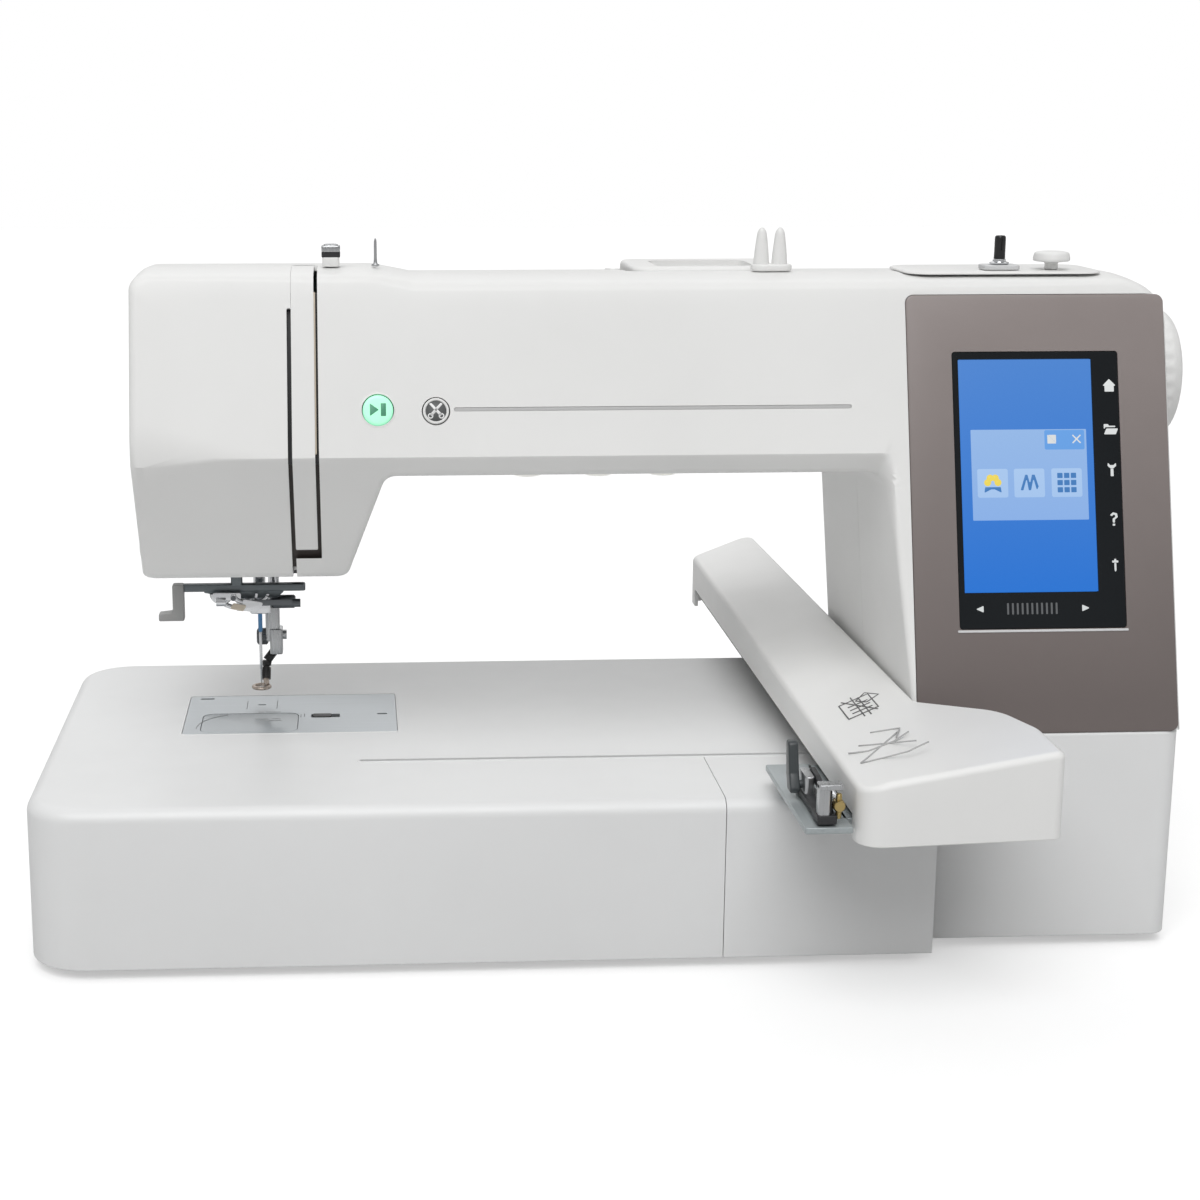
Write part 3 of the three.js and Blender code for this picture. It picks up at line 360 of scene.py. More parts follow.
def brushedMetal(name, colour, roughness, stretch=(1, 60, 60), scale=18.0, bump=0.12, metallic=1.0):
    # fine lines: noise squeezed across the brushing direction drives roughness, colour and bump
    mat, nodes, links, shader, place = newMaterial(name)
    lines = noiseNode(nodes, links, place, scale, 6.0, stretch)
    shade = rampNode(nodes, links, lines.outputs["Fac"], 0, 1)
    dark = tuple(c * 0.86 for c in colour)
    links.new(mixColour(nodes, links, shade, dark, colour), shader.inputs["Base Color"])
    rough = rampNode(nodes, links, lines.outputs["Fac"], roughness - 0.07, roughness + 0.08)
    links.new(rough, shader.inputs["Roughness"])
    bumpFrom(nodes, links, shader, lines.outputs["Fac"], bump, 0.0001)
    shader.inputs["Metallic"].default_value = metallic
    return mat


def castMetal(name, colour):
    # sand-cast skin: two noises, coarse for tone and fine for pits
    mat, nodes, links, shader, place = newMaterial(name)
    coarse = noiseNode(nodes, links, place, 40.0, 6.0)
    shade = rampNode(nodes, links, coarse.outputs["Fac"], 0, 1)
    dark = tuple(c * 0.75 for c in colour)
    links.new(mixColour(nodes, links, shade, dark, colour), shader.inputs["Base Color"])
    pits = noiseNode(nodes, links, place, 700.0, 4.0)
    rough = rampNode(nodes, links, pits.outputs["Fac"], 0.42, 0.6)
    links.new(rough, shader.inputs["Roughness"])
    bumpFrom(nodes, links, shader, pits.outputs["Fac"], 0.35, 0.0003)
    shader.inputs["Metallic"].default_value = 0.9
    return mat


def litPlastic(name, colour, glow, strength):
    # translucent cap lit from behind: emission a little uneven with a wide noise
    mat, nodes, links, shader, place = newMaterial(name)
    wide = noiseNode(nodes, links, place, 120.0, 2.0)
    shade = rampNode(nodes, links, wide.outputs["Fac"], 0, 1)
    dim = tuple(c * 0.9 for c in glow)
    links.new(mixColour(nodes, links, shade, dim, glow), shader.inputs["Emission Color"])
    shader.inputs["Emission Strength"].default_value = strength
    shader.inputs["Base Color"].default_value = (*colour, 1)
    rough = rampNode(nodes, links, wide.outputs["Fac"], 0.27, 0.34)
    links.new(rough, shader.inputs["Roughness"])
    return mat


def shadeGradedPlastic(name, lowColour, highColour, lowZ, highZ, roughness=0.35):
    # painted shade and painted reflection: colour runs evenly from the darker lowColour at lowZ to the
    # lighter highColour at highZ (metres), standing in for how light and reflection fall down the panel, with
    # a faint cloud
    mat, nodes, links, shader, place = newMaterial(name)
    split = nodes.new("ShaderNodeSeparateXYZ")
    links.new(place.outputs["Object"], split.inputs["Vector"])
    height = nodes.new("ShaderNodeMapRange")
    height.inputs["From Min"].default_value = lowZ
    height.inputs["From Max"].default_value = highZ
    links.new(split.outputs["Z"], height.inputs["Value"])
    base = mixColour(nodes, links, height.outputs["Result"], lowColour, highColour)
    wide = noiseNode(nodes, links, place, 30.0, 4.0)
    shade = rampNode(nodes, links, wide.outputs["Fac"], 0, 0.08)
    dark = tuple(c * 0.7 for c in lowColour)
    links.new(mixColour(nodes, links, shade, base, dark), shader.inputs["Base Color"])
    rough = rampNode(nodes, links, wide.outputs["Fac"], roughness - 0.03, roughness + 0.04)
    links.new(rough, shader.inputs["Roughness"])
    fine = noiseNode(nodes, links, place, 1400.0, 2.0)
    bumpFrom(nodes, links, shader, fine.outputs["Fac"], 0.06, 0.0001)
    return mat


def glowing(name, lowColour, highColour, lowZ, highZ, strength=1.0):
    # a lit display: the glow runs from lowColour to highColour with height, over a fine dot raster
    mat, nodes, links, shader, place = newMaterial(name)
    split = nodes.new("ShaderNodeSeparateXYZ")
    links.new(place.outputs["Object"], split.inputs["Vector"])
    height = nodes.new("ShaderNodeMapRange")
    height.inputs["From Min"].default_value = lowZ
    height.inputs["From Max"].default_value = highZ
    links.new(split.outputs["Z"], height.inputs["Value"])
    base = mixColour(nodes, links, height.outputs["Result"], lowColour, highColour)
    raster = noiseNode(nodes, links, place, 1500.0, 0.0)
    shade = rampNode(nodes, links, raster.outputs["Fac"], 0, 0.05)
    dim = tuple(c * 0.8 for c in lowColour)
    links.new(mixColour(nodes, links, shade, base, dim), shader.inputs["Emission Color"])
    shader.inputs["Emission Strength"].default_value = strength
    shader.inputs["Base Color"].default_value = (0.01, 0.01, 0.012, 1)
    shader.inputs["Specular IOR Level"].default_value = 0.12
    links.new(rampNode(nodes, links, raster.outputs["Fac"], 0.30, 0.36), shader.inputs["Roughness"])
    return mat


def clearMoulding(name, tint, alpha):
    # clear moulded cover: low roughness, part transparent, faint flow marks
    mat, nodes, links, shader, place = newMaterial(name)
    flow = noiseNode(nodes, links, place, 50.0, 2.0, (1, 3, 1))
    shade = rampNode(nodes, links, flow.outputs["Fac"], 0, 1)
    dark = tuple(c * 0.93 for c in tint)
    links.new(mixColour(nodes, links, shade, dark, tint), shader.inputs["Base Color"])
    links.new(rampNode(nodes, links, flow.outputs["Fac"], 0.08, 0.16), shader.inputs["Roughness"])
    shader.inputs["Alpha"].default_value = alpha
    return mat


finish = {
    "shell": mouldedPlastic("whiteShell", (0.80, 0.80, 0.79), 0.42),
    "shellCool": mouldedPlastic("tableShell", (0.76, 0.765, 0.765), 0.38),
    "linerGrey": mouldedPlastic("lighterGrey", (0.62, 0.625, 0.63), 0.5),
    "tapeBlue": mouldedPlastic("blueShank", (0.10, 0.28, 0.55), 0.35, 0.1),
    "greyShell": mouldedPlastic("greyShell", (0.45, 0.45, 0.445), 0.5),
    "blackMatte": mouldedPlastic("blackMoulding", (0.022, 0.022, 0.024), 0.45, 0.15, 700.0, 0.25),
    "lineGrey": mouldedPlastic("grooveGrey", (0.50, 0.50, 0.50), 0.5, 0.03),
    "markGrey": mouldedPlastic("markGrey", (0.42, 0.42, 0.42), 0.55, 0.04),
    "blackGloss": mouldedPlastic("blackGlass", (0.012, 0.014, 0.016), 0.12, 0.1, 300.0, 0.01),
    "turnedSteel": brushedMetal("turnedSteel", (0.62, 0.63, 0.65), 0.28, (60, 1, 1), 12.0),
    "chrome": brushedMetal("platedSteel", (0.78, 0.79, 0.81), 0.14, (1, 1, 20), 30.0, 0.04),
    "brass": brushedMetal("brassScrew", (0.55, 0.42, 0.18), 0.28, (1, 30, 1), 30.0, 0.1),
    "castAlloy": castMetal("castAlloy", (0.42, 0.43, 0.44)),
    "rubber": mouldedPlastic("rubberFoot", (0.02, 0.02, 0.02), 0.8, 0.2, 400.0, 0.4),
    "board": mouldedPlastic("circuitBoard", (0.03, 0.16, 0.07), 0.4, 0.2),
    "clear": clearMoulding("clearLid", (0.62, 0.66, 0.68), 0.55),
    "mint": litPlastic("mintCap", (0.40, 0.84, 0.58), (0.38, 0.88, 0.60), 0.52),
    "lens": litPlastic("lampLens", (0.85, 0.85, 0.8), (1.0, 0.98, 0.92), 0.25),
    "cream": mouldedPlastic("slitCream", (0.66, 0.58, 0.47), 0.5, 0.05),
    "slitShadowBrown": mouldedPlastic("slitShadowBrown", (0.055, 0.045, 0.040), 0.5, 0.1),
    "markGreen": mouldedPlastic("symbolGreen", (0.10, 0.36, 0.22), 0.5, 0.06),
    "cutterGrey": mouldedPlastic("buttonGrey", (0.12, 0.125, 0.125), 0.45, 0.08),
    "linerWhite": mouldedPlastic("symbolWhite", (0.85, 0.85, 0.85), 0.45, 0.02),
    "steelDark": brushedMetal("darkScrew", (0.16, 0.17, 0.18), 0.35, (1, 20, 1), 40.0, 0.1),
    "steelBright": brushedMetal("footHolder", (0.55, 0.56, 0.57), 0.3, (30, 30, 1), 30.0, 0.1),
    "darkSteel": brushedMetal("threaderBar", (0.17, 0.19, 0.20), 0.38, (1, 20, 20), 30.0, 0.1),
    "blackSatin": mouldedPlastic("footBlack", (0.015, 0.015, 0.016), 0.28, 0.1, 500.0, 0.05),
    "leverGrey": mouldedPlastic("leverGrey", (0.36, 0.36, 0.355), 0.4, 0.05),
    "plateSteel": brushedMetal("plateSteel", (0.58, 0.61, 0.63), 0.42, (1, 60, 60), 18.0, 0.1, 0.8),
    "lidPlastic": mouldedPlastic("lidPlastic", (0.40, 0.43, 0.45), 0.22, 0.03, 300.0, 0.02),
    "plateMark": mouldedPlastic("plateMark", (0.36, 0.37, 0.38), 0.5, 0.03),
    "plateGrey": brushedMetal("carriageGrey", (0.42, 0.46, 0.47), 0.35, (30, 1, 30), 20.0, 0.08, 0.4),
    "footTip": brushedMetal("footTip", (0.62, 0.53, 0.46), 0.32, (20, 20, 20), 30.0, 0.08, 0.7),
    "drawingDark": mouldedPlastic("drawingDark", (0.12, 0.12, 0.12), 0.55, 0.04),
    "leverDark": mouldedPlastic("leverDark", (0.045, 0.052, 0.055), 0.32, 0.1),
}
finish["blackGloss"].node_tree.nodes["Principled BSDF"].inputs["Specular IOR Level"].default_value = 0.15


def dress(obj, material, slotName, body, *nodes):
    # gives a finished piece its material and body, and hides the CAD nodes it stands for
    obj.data.materials.clear()
    obj.data.materials.append(finish[material] if isinstance(material, str) else material)
    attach(obj, body)
    if nodes:
        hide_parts(*nodes)
    return obj


# the leaning front as a frame of its own: x, depth into the body, height up the front
lean = {"depth": 20.0, "height": 112.0, "slope": 0.3}
leanCos = 1 / math.sqrt(1 + lean["slope"] ** 2)
leanSin = lean["slope"] * leanCos


def onFront(points):
    # (x, depth, up) -> x, y, z on the leaning front
    x, depth, up = points[..., 0], points[..., 1], points[..., 2]
    y = lean["depth"] + up * leanSin + depth * leanCos
    z = lean["height"] + up * leanCos - depth * leanSin
    return np.stack([x, y, z], axis=-1)


def upFront(z):
    return (z - lean["height"]) / leanCos


def frontBlock(name, x0, x1, depth0, depth1, z0, z1, radius=0.26):
    # a block standing on the leaning front
    corners = rectangle(x0, x1, upFront(z0), upFront(z1), radius)
    return slab(name, corners, depth0, depth1, (0.02, 0.02), "y", onFront)


def block(name, x0, x1, y0, y1, z0, z1, radius=0.26, edge=0.02):
    return slab(name, rectangle(x0, x1, y0, y1, radius), z0, z1, (edge, edge))


# head, arm and column: one swept form, cut into a front and a rear shell
faceLow, faceHigh = layoutBox("front_cover")
body = {
    "left": faceLow[0],
    "right": faceHigh[0],
    "top": 317.5,
    "capTop": faceHigh[2] - 0.15,
    "capRight": 165.0,
    "capSlope": 20.0,
    "rear": layoutBox("rear_cover")[1][1],
    "headBottom": 168.0,
    "headRight": 151.3,
    "headSlopeRight": 170.5,
    "throatTop": 225.5,
    "throatRight": 410.0,
    "throatFoot": 421.5,
    "throatFootZ": 82.7,
    "baseTop": layoutBox("column_base_cover")[1][2] + 0.3,
    "crease": 236.0,
    "undercut": 0.706,
    "parting": 125.0,
    "wall": 2.6,
    "frontRadius": 4.5,
    "innerRadius": 3.0,
    "rearRadius": 18.0,
    "rearInnerRadius": 6.0,
    "endRadius": 4.0,
}


def arc(centre, radius, start, stop, count):
    a = np.radians(np.linspace(start, stop, count))
    return np.stack([centre[0] + radius * np.cos(a), centre[1] + radius * np.sin(a)], axis=1)


def line(a, b, count):
    return np.linspace(np.array(a, float), np.array(b, float), count)


def bodyStations(b):
    # pairs of points (outer, inner) round the C of head, arm and column, and each pair's end inset
    headTurn, columnTurn = 7.0, 9.0
    slope = np.array([b["headSlopeRight"] - b["headRight"], b["throatTop"] - b["headBottom"]])
    slopeAngle = math.degrees(math.atan2(slope[1], slope[0]))
    reach = headTurn * math.tan(math.radians(slopeAngle / 2))
    knee = np.array([b["headSlopeRight"], b["throatTop"]])
    kneeStart = knee - slope / np.linalg.norm(slope) * reach
    kneeCentre = knee + np.array([reach, -headTurn])
    fall = np.array([b["throatFoot"] - b["throatRight"], b["throatFootZ"] - b["throatTop"]])
    fallAngle = math.degrees(math.atan2(fall[1], fall[0]))
    elbow = np.array([b["throatRight"], b["throatTop"]])
    reachColumn = columnTurn * math.tan(math.radians(-fallAngle / 2))
    elbowCentre = elbow + np.array([-reachColumn, -columnTurn])
    elbowEnd = elbow + fall / np.linalg.norm(fall) * reachColumn
    a = np.linspace(0, math.pi / 2, 6)
    endZ = b["headBottom"] + b["endRadius"] * (1 - np.cos(a))
    endInset = b["endRadius"] * (1 - np.sin(a))
    onSlope = lambda z: b["headRight"] + slope[0] * (z - b["headBottom"]) / slope[1]
    headZ = np.concatenate([endZ, np.linspace(endZ[-1], kneeStart[1], 10)[1:]])
    outer = [np.stack([np.full(len(headZ), b["left"]), headZ], axis=1)]
    inner = [np.stack([onSlope(headZ), headZ], axis=1)]
    cap, top, r = b["capTop"], b["top"], 9.0
    over = [
        line((b["left"], headZ[-1]), (b["left"], cap - r), 9)[1:],
        arc((b["left"] + r, cap - r), r, 180, 90, 9)[1:],
        line((b["left"] + r, cap), (b["capRight"], cap), 10)[1:],
        line((b["capRight"], cap), (b["capRight"] + b["capSlope"], top), 6)[1:],
    ]
    over = np.concatenate(over)
    outer.append(over)
    inner.append(arc(kneeCentre, headTurn, 180 - (90 - slopeAngle), 90, len(over) + 1)[1:])
    armX = np.linspace(b["capRight"] + b["capSlope"], 392, 24)[1:]
    innerX = np.linspace(inner[-1][-1][0], elbowCentre[0], 24)[1:]
    outer.append(np.stack([armX, np.full(23, top)], axis=1))
    inner.append(np.stack([innerX, np.full(23, b["throatTop"])], axis=1))
    bigTurn = 22.0
    over = [
        line((392, top), (b["right"] - bigTurn, top), 12)[1:],
        arc((b["right"] - bigTurn, top - bigTurn), bigTurn, 90, 0, 13)[1:],
        line((b["right"], top - bigTurn), (b["right"], elbowEnd[1] - 4), 9)[1:],
    ]
    over = np.concatenate(over)
    outer.append(over)
    inner.append(arc(elbowCentre, columnTurn, 90, 90 + fallAngle + 0.01, len(over) + 1)[1:])
    columnZ = np.linspace(elbowEnd[1], b["baseTop"], 14)[1:]
    columnOuterZ = np.linspace(elbowEnd[1] - 4, b["baseTop"], 14)[1:]
    onFall = lambda z: b["throatRight"] + fall[0] * (z - b["throatTop"]) / fall[1]
    outer.append(np.stack([np.full(13, b["right"]), columnOuterZ], axis=1))
    inner.append(np.stack([onFall(columnZ), columnZ], axis=1))
    outer, inner = np.concatenate(outer), np.concatenate(inner)
    inset = np.zeros(len(outer))
    inset[: len(endInset)] = endInset
    return outer, inner, inset


def undercutDepth(z):
    # how far back the undercut lies at a height below the crease
    crease = lean["depth"] + lean["slope"] * (body["crease"] - lean["height"])
    return crease + body["undercut"] * (body["crease"] - z)


def frontDepth(x, z, b):
    # leaning plane, and below the crease the undercut; the larger depth of the two, softly joined
    plane = lean["depth"] + lean["slope"] * (z - lean["height"])
    under = undercutDepth(z)
    share = np.clip((b["throatRight"] + 3 - x) / 6, 0, 1)
    share = share * share * (3 - 2 * share)
    soft = 0.8
    deeper = 0.5 * (plane + under + np.sqrt((under - plane) ** 2 + soft ** 2) - soft)
    return plane + share * np.maximum(deeper - plane, 0)


def crown(y):
    # the top is highest near the front third and falls to the back
    front = -2.2 * np.clip((115 - y) / 34, 0, 1) ** 2
    back = -6.3 * np.clip((y - 115) / 103, 0, 1) ** 1.4
    return front + back


def bodyRings(b, grow, lowEnd):
    # each station's loop: front face from outer to inner edge, inner wall, rear face, outer wall,
    # with quarter rounds between them; grow moves every face inwards
    outer, inner, inset = bodyStations(b)
    outer, inner = outer.copy(), inner.copy()
    if grow:
        outer[0, 1] += grow
        inner[0, 1] += grow
        outer[-1, 1] = inner[-1, 1] = lowEnd
    inset = inset + grow
    width = np.linalg.norm(inner - outer, axis=1)
    toward = (inner - outer) / width[:, None]
    tangent = np.gradient(outer, axis=0)
    tangent /= np.linalg.norm(tangent, axis=1, keepdims=True)
    upShare = np.abs(tangent[:, 0]) ** 2
    rFront = max(b["frontRadius"] - grow, 0.6)
    rInner = max(b["innerRadius"] - grow, 0.6)
    rRear = max(b["rearRadius"] - grow, 0.6)
    rRearInner = max(b["rearInnerRadius"] - grow, 0.6)
    rise = outer[:, 1] - inner[:, 1]
    cross = np.where(outer[:, 1] > b["crease"], width * (outer[:, 1] - b["crease"]) / np.maximum(rise, 1), 0)
    cross = np.clip(cross, inset + rFront + 3, width - inset - rInner - 3)

    def arcPoints(r, count=7):
        a = np.linspace(0, math.pi / 2, count)
        return r * (1 - np.sin(a)), r * (1 - np.cos(a))

    acrossParts, depthParts, fromRear = [], [], []
    lo, hi = inset[:, None], (width - inset)[:, None]
    side, depth = arcPoints(rFront)
    acrossParts.append(lo + side[::-1][None])
    depthParts.append(np.broadcast_to(depth[::-1], acrossParts[-1].shape))
    fromRear.append(np.zeros(7))
    t = np.linspace(0, 1, 12)[1:]
    acrossParts.append(lo + rFront + (cross[:, None] - lo - rFront) * t)
    depthParts.append(np.zeros_like(acrossParts[-1]))
    fromRear.append(np.zeros(11))
    t = np.linspace(0, 1, 12)[1:-1]
    acrossParts.append(cross[:, None] + (hi - rInner - cross[:, None]) * t)
    depthParts.append(np.zeros_like(acrossParts[-1]))
    fromRear.append(np.zeros(10))
    side, depth = arcPoints(rInner)
    acrossParts.append(hi - side[None])
    depthParts.append(np.broadcast_to(depth, acrossParts[-1].shape))
    fromRear.append(np.zeros(7))
    t = np.linspace(0, 1, 10)[1:-1]
    acrossParts.append(np.repeat(hi, 8, axis=1))
    depthParts.append(np.broadcast_to(t, acrossParts[-1].shape))
    fromRear.append(np.full(8, 2.0))
    side, depth = arcPoints(rRearInner)
    acrossParts.append(hi - side[::-1][None])
    depthParts.append(np.broadcast_to(depth[::-1], acrossParts[-1].shape))
    fromRear.append(np.ones(7))
    t = np.linspace(0, 1, 14)[1:-1]
    acrossParts.append(hi - rRearInner + (lo + rRear - hi + rRearInner) * t)
    depthParts.append(np.zeros_like(acrossParts[-1]))
    fromRear.append(np.ones(12))
    side, depth = arcPoints(rRear, 10)
    acrossParts.append(lo + side[None])
    depthParts.append(np.broadcast_to(depth, acrossParts[-1].shape))
    fromRear.append(np.ones(10))
    t = np.linspace(0, 1, 18)[1:-1]
    acrossParts.append(np.repeat(lo, 16, axis=1))
    depthParts.append(np.broadcast_to(1 - t, acrossParts[-1].shape))
    fromRear.append(np.full(16, 3.0))
    across = np.concatenate(acrossParts, axis=1)
    depth = np.concatenate(depthParts, axis=1)
    kind = np.concatenate(fromRear)[None]
    xz = outer[:, None] + toward[:, None] * across[..., None]
    x, z = xz[..., 0], xz[..., 1]
    front = frontDepth(x, z, b) + inset[:, None] * 1.04
    rear = b["rear"] - inset[:, None]
    innerWall = front + rInner + (rear - rRearInner - front - rInner) * depth
    outerWall = front + rFront + (rear - rRear - front - rFront) * depth
    y = np.where(kind == 0, front + depth, rear - depth)
    y = np.where(kind == 2, innerWall, y)
    y = np.where(kind == 3, outerWall, y)
    fade = np.clip(1 - (across - lo) / 30, 0, 1) ** 2
    z = z + crown(y) * upShare[:, None] * fade
    return np.stack([x, y, z], axis=-1)


def bodyShells(b):
    outerForm = ringStack("bodyOuter", bodyRings(b, 0.0, 0))
    innerForm = ringStack("bodyInner", bodyRings(b, b["wall"], b["baseTop"] - 12))
    carve(outerForm, [innerForm])
    rearForm = twin(outerForm, "rearShell")
    front = carve(outerForm, [block("cutRear", -50, 700, b["parting"], 320, 0, 400)])
    rear = carve(rearForm, [block("cutFront", -50, 700, -100, b["parting"] + 0.35, 0, 400)])
    front.name = "frontShell"
    return front, rear


frontShell, rearShell = bodyShells(body)
print("body shells swept")

slits = {
    "left": 124.4, "stripLeft": 126.4, "stripRight": 137.2, "right": 139.0, "leftTop": 304.5,
    "windowFoot": 195.2, "stripFoot": 199.1, "liner": 3.4, "linerTop": 312
}
startLow, startHigh = layoutBox("start_button")
cutterLow, cutterHigh = layoutBox("thread_cutter_button")
startX = (startLow[0] + startHigh[0]) / 2
cutterX = (cutterLow[0] + cutterHigh[0]) / 2
startRadius = (startHigh[0] - startLow[0]) / 2
cutterRadius = (cutterHigh[0] - cutterLow[0]) / 2
startZ, cutterZ = 257.7, 257.0
panelLow, panelHigh = layoutBox("control_panel")
bezelLow, bezelHigh = layoutBox("screen_bezel")
opening = {"low": 154.7, "high": 282.6, "pocketTop": 309.3}
groove = {"from": 203.0, "to": 393.0, "half": 0.95, "depth": 0.9}


def cutSlits(shell, s):
    # left slit, and the wider window that holds the strip and the right slit
    strip = twin(shell, "threadStrip")
    carve(shell, [
        frontBlock("slitLeft", s["left"], s["stripLeft"] + 0.05, -12, 90, 120, s["leftTop"], 0.95),
        frontBlock("slitRight", s["stripLeft"] - 0.05, s["right"], -12, 34, s["windowFoot"] + 20, 345),
        frontBlock("slitFoot", s["stripLeft"] - 0.09, s["right"] + 0.06, -13, 72, s["windowFoot"], 239.3),
    ])
    stripBlock = frontBlock(
        "stripKeep", s["stripLeft"] + 0.06, s["stripRight"], -12, 72, s["stripFoot"], 345, 0.5
    )
    carve(strip, [stripBlock], "INTERSECT")
    return strip


threadStrip = cutSlits(frontShell, slits)
needleWindow = (84, 132, 150, 213)  # opening under the head: x from and to, y from and to
carve(frontShell, [
    frontBlock("pocket", panelLow[0] - 0.3, panelHigh[0] + 0.3, -6, 1.7, 100, opening["pocketTop"], 4.2),
    frontBlock(
        "screenHole", bezelLow[0] - 3.5, bezelHigh[0] + 3.5, -6, 14, opening["low"] - 3.5,
        opening["high"] + 3.6, 1
    ),
    turned(
        "startHole", [(startRadius + 0.5, -8), (startRadius + 0.5, 14)], "y",
        (startX, 0, upFront(startZ)), 64, onFront
    ),
    turned(
        "cutterHole", [(cutterRadius + 0.5, -8), (cutterRadius + 0.5, 14)], "y",
        (cutterX, 0, upFront(cutterZ)), 64, onFront
    ),
    frontBlock(
        "grooveCut", groove["from"], groove["to"], -3, groove["depth"], startZ - 0.9, startZ + 0.9, 0.85
    ),
    block("windowFront", *needleWindow, 150, 176, 3),
])
handleLow, handleHigh = layoutBox("carry_handle")
carve(rearShell, [
    block(
        "handleRecess", handleLow[0] - 3.5, handleHigh[0] + 3.5, body["parting"] + 3, handleHigh[1] + 3.5,
        309, 340, 9
    ),
    block("windowRear", *needleWindow, 150, 176, 3),
    turned("shaftHole", [(12, 540), (12, 560)], "x", (0, 150, 262)),
])
for piece, nodes in (
    (frontShell, ["front_cover"]), (rearShell, ["rear_cover"]), (threadStrip, ["thread_channel_strip"])
):
    smooth(piece, 30)
    dress(piece, "shell", "shell", "machine", *nodes)
print("shells cut", len(frontShell.data.vertices), len(rearShell.data.vertices))


# foot of the column between the table's end and the panel
def columnSkirt(b):
    z = np.linspace(b["throatFootZ"] + 0.1, b["baseTop"] - 0.2, 8)
    fall = (b["throatFoot"] - b["throatRight"]) / (b["throatTop"] - b["throatFootZ"])
    left = b["throatRight"] + fall * (b["throatTop"] - z)
    front = frontDepth(np.full(8, 430.0), z, b)
    rings = []
    for i in range(8):
        points = roundedOutline(rectangle(left[i], 427.1, front[i], b["rear"], 2.2), 5)[0]
        rings.append(np.column_stack([points, np.full(len(points), z[i])]))
    return ringStack("columnSkirt", np.array(rings))


dress(smooth(columnSkirt(body)), "shell", "shell", "machine")


# table, unit cover and column base: outlines carried up a wall and over a rounded rim
def hollowTray(name, corners, low, top, rim, wall):
    # outside wall, rounded rim and flat top, then the same outline one wall further in, back down
    points, normals = roundedOutline(corners, 10)
    outside = edgeProfile(low, top, 0.6, rim, 9)
    inside = edgeProfile(low, top - wall, 0.02, max(rim - wall, 0.3), 6)
    inside[:, 0] += wall
    inside[0] = (wall, low)
    profile = np.concatenate([outside[::-1], inside])
    flat = points[None] - normals[None] * profile[:, :1, None]
    heights = np.broadcast_to(profile[:, 1][:, None, None], flat.shape[:2] + (1,))
    return ringStack(name, np.concatenate([flat, heights], axis=-1))


table = {
    "width": (bedHigh.x - bedLow.x) * 1000,
    "depth": (bedHigh.y - bedLow.y) * 1000,
    "top": bedHigh.z * 1000,
    "foot": bedLow.z * 1000,
    "corner": 28.0,
    "rim": 6.5,
    "wall": 2.6,
}
plateLow, plateHigh = layoutBox("needle_plate")
unitLow = layoutBox("unit_cover")[0]
door = {"front": 26, "back": 208}  # opening for the arm's rail between table and column base
slot = {"from": 156.0, "to": 423.0, "front": 70.7, "back": 74.3}


def tableShells(t):
    corners = [
        (0, 0, t["corner"]), (t["width"] + 30, 0, 3), (t["width"] + 30, t["depth"], 3),
        (0, t["depth"], t["corner"])
    ]
    whole = hollowTray("tableShell", corners, t["foot"], t["top"], t["rim"], t["wall"])
    carve(whole, [block("tableEnd", t["width"], t["width"] + 60, -50, 330, 0, 120)])
    unit = twin(whole, "unitShell")
    slotCutter = lambda: block("slotCut", slot["from"], slot["to"], slot["front"], slot["back"], 60, 100, 1.7)
    carve(whole, [
        slotCutter(),
        block("unitCut", unitLow[0] - 0.35, 470, -60, slot["front"] + 1.2, 0, 120),
        block(
            "plateCut", plateLow[0] - 0.25, plateHigh[0] + 0.25, plateLow[1] - 0.25, plateHigh[1] + 0.25,
            plateLow[2] - 0.2, 100, 2.2
        ),
        block("plateUnder", plateLow[0] + 4, plateHigh[0] - 4, plateLow[1] + 4, plateHigh[1] - 4, 60, 100, 3),
        block("neckDoor", t["width"] - 8, t["width"] + 20, door["front"], door["back"], 0, t["top"] - 12),
    ])
    carve(unit, [block("unitKeep", unitLow[0], 470, -60, slot["front"] + 0.9, 0, 120)], "INTERSECT")
    carve(
        unit,
        [
            slotCutter(),
            block("neckDoor", t["width"] - 8, t["width"] + 20, door["front"], door["back"], 0, t["top"] - 12)
        ]
    )
    return whole, unit


tableShell, unitShell = tableShells(table)
dress(smooth(tableShell, 30), "shellCool", "shell", "machine", "bed_cover")
dress(smooth(unitShell, 30), "shellCool", "shell", "machine", "unit_cover")

baseLow, baseHigh = layoutBox("column_base_cover")


def baseShell(low, high):
    corners = [(low[0], low[1], 2), (high[0], low[1], 9), (high[0], high[1], 20), (low[0], high[1], 2)]
    shell = hollowTray("baseShell", corners, low[2], high[2], 1.4, 2.6)
    inletLow, inletHigh = layoutBox("mains_inlet")
    switchLow, switchHigh = layoutBox("power_switch")
    carve(shell, [
        block("doorCut", low[0] - 5, low[0] + 6, door["front"], door["back"], 0, 70),
        block("topCut", low[0] + 8, high[0] - 8, low[1] + 8, high[1] - 8, 90, 130, 4),
        slab(
            "inletCut",
            rectangle(inletLow[1] - 0.3, inletHigh[1] + 0.3, inletLow[2] - 0.3, inletHigh[2] + 0.3, 1),
            530, 560, axis="x"
        ),
        slab(
            "switchCut", rectangle(switchLow[1] - 0.3, switchHigh[1] + 0.3, 28.7, 51.3, 1), 530, 560,
            axis="x"
        ),
    ])
    return shell


dress(smooth(baseShell(baseLow, baseHigh), 30), "shellCool", "shell", "machine", "column_base_cover")
print("table and base made")


# embroidery arm
armLow, armHigh = layoutBox("arm_cover")
arm = {
    "left": armLow[0],
    "right": 417.5,
    "front": armLow[1],
    "footRight": armHigh[0],
    "footBack": 14.0,
    "backLeft": 398.0,
    "backRight": 425.0,
    "taper": 5.0,
    "bottom": armLow[2],
    "topLeft": 112.0,
    "topRight": 125.5,
    "rim": 3.2,
    "wall": 2.2,
}


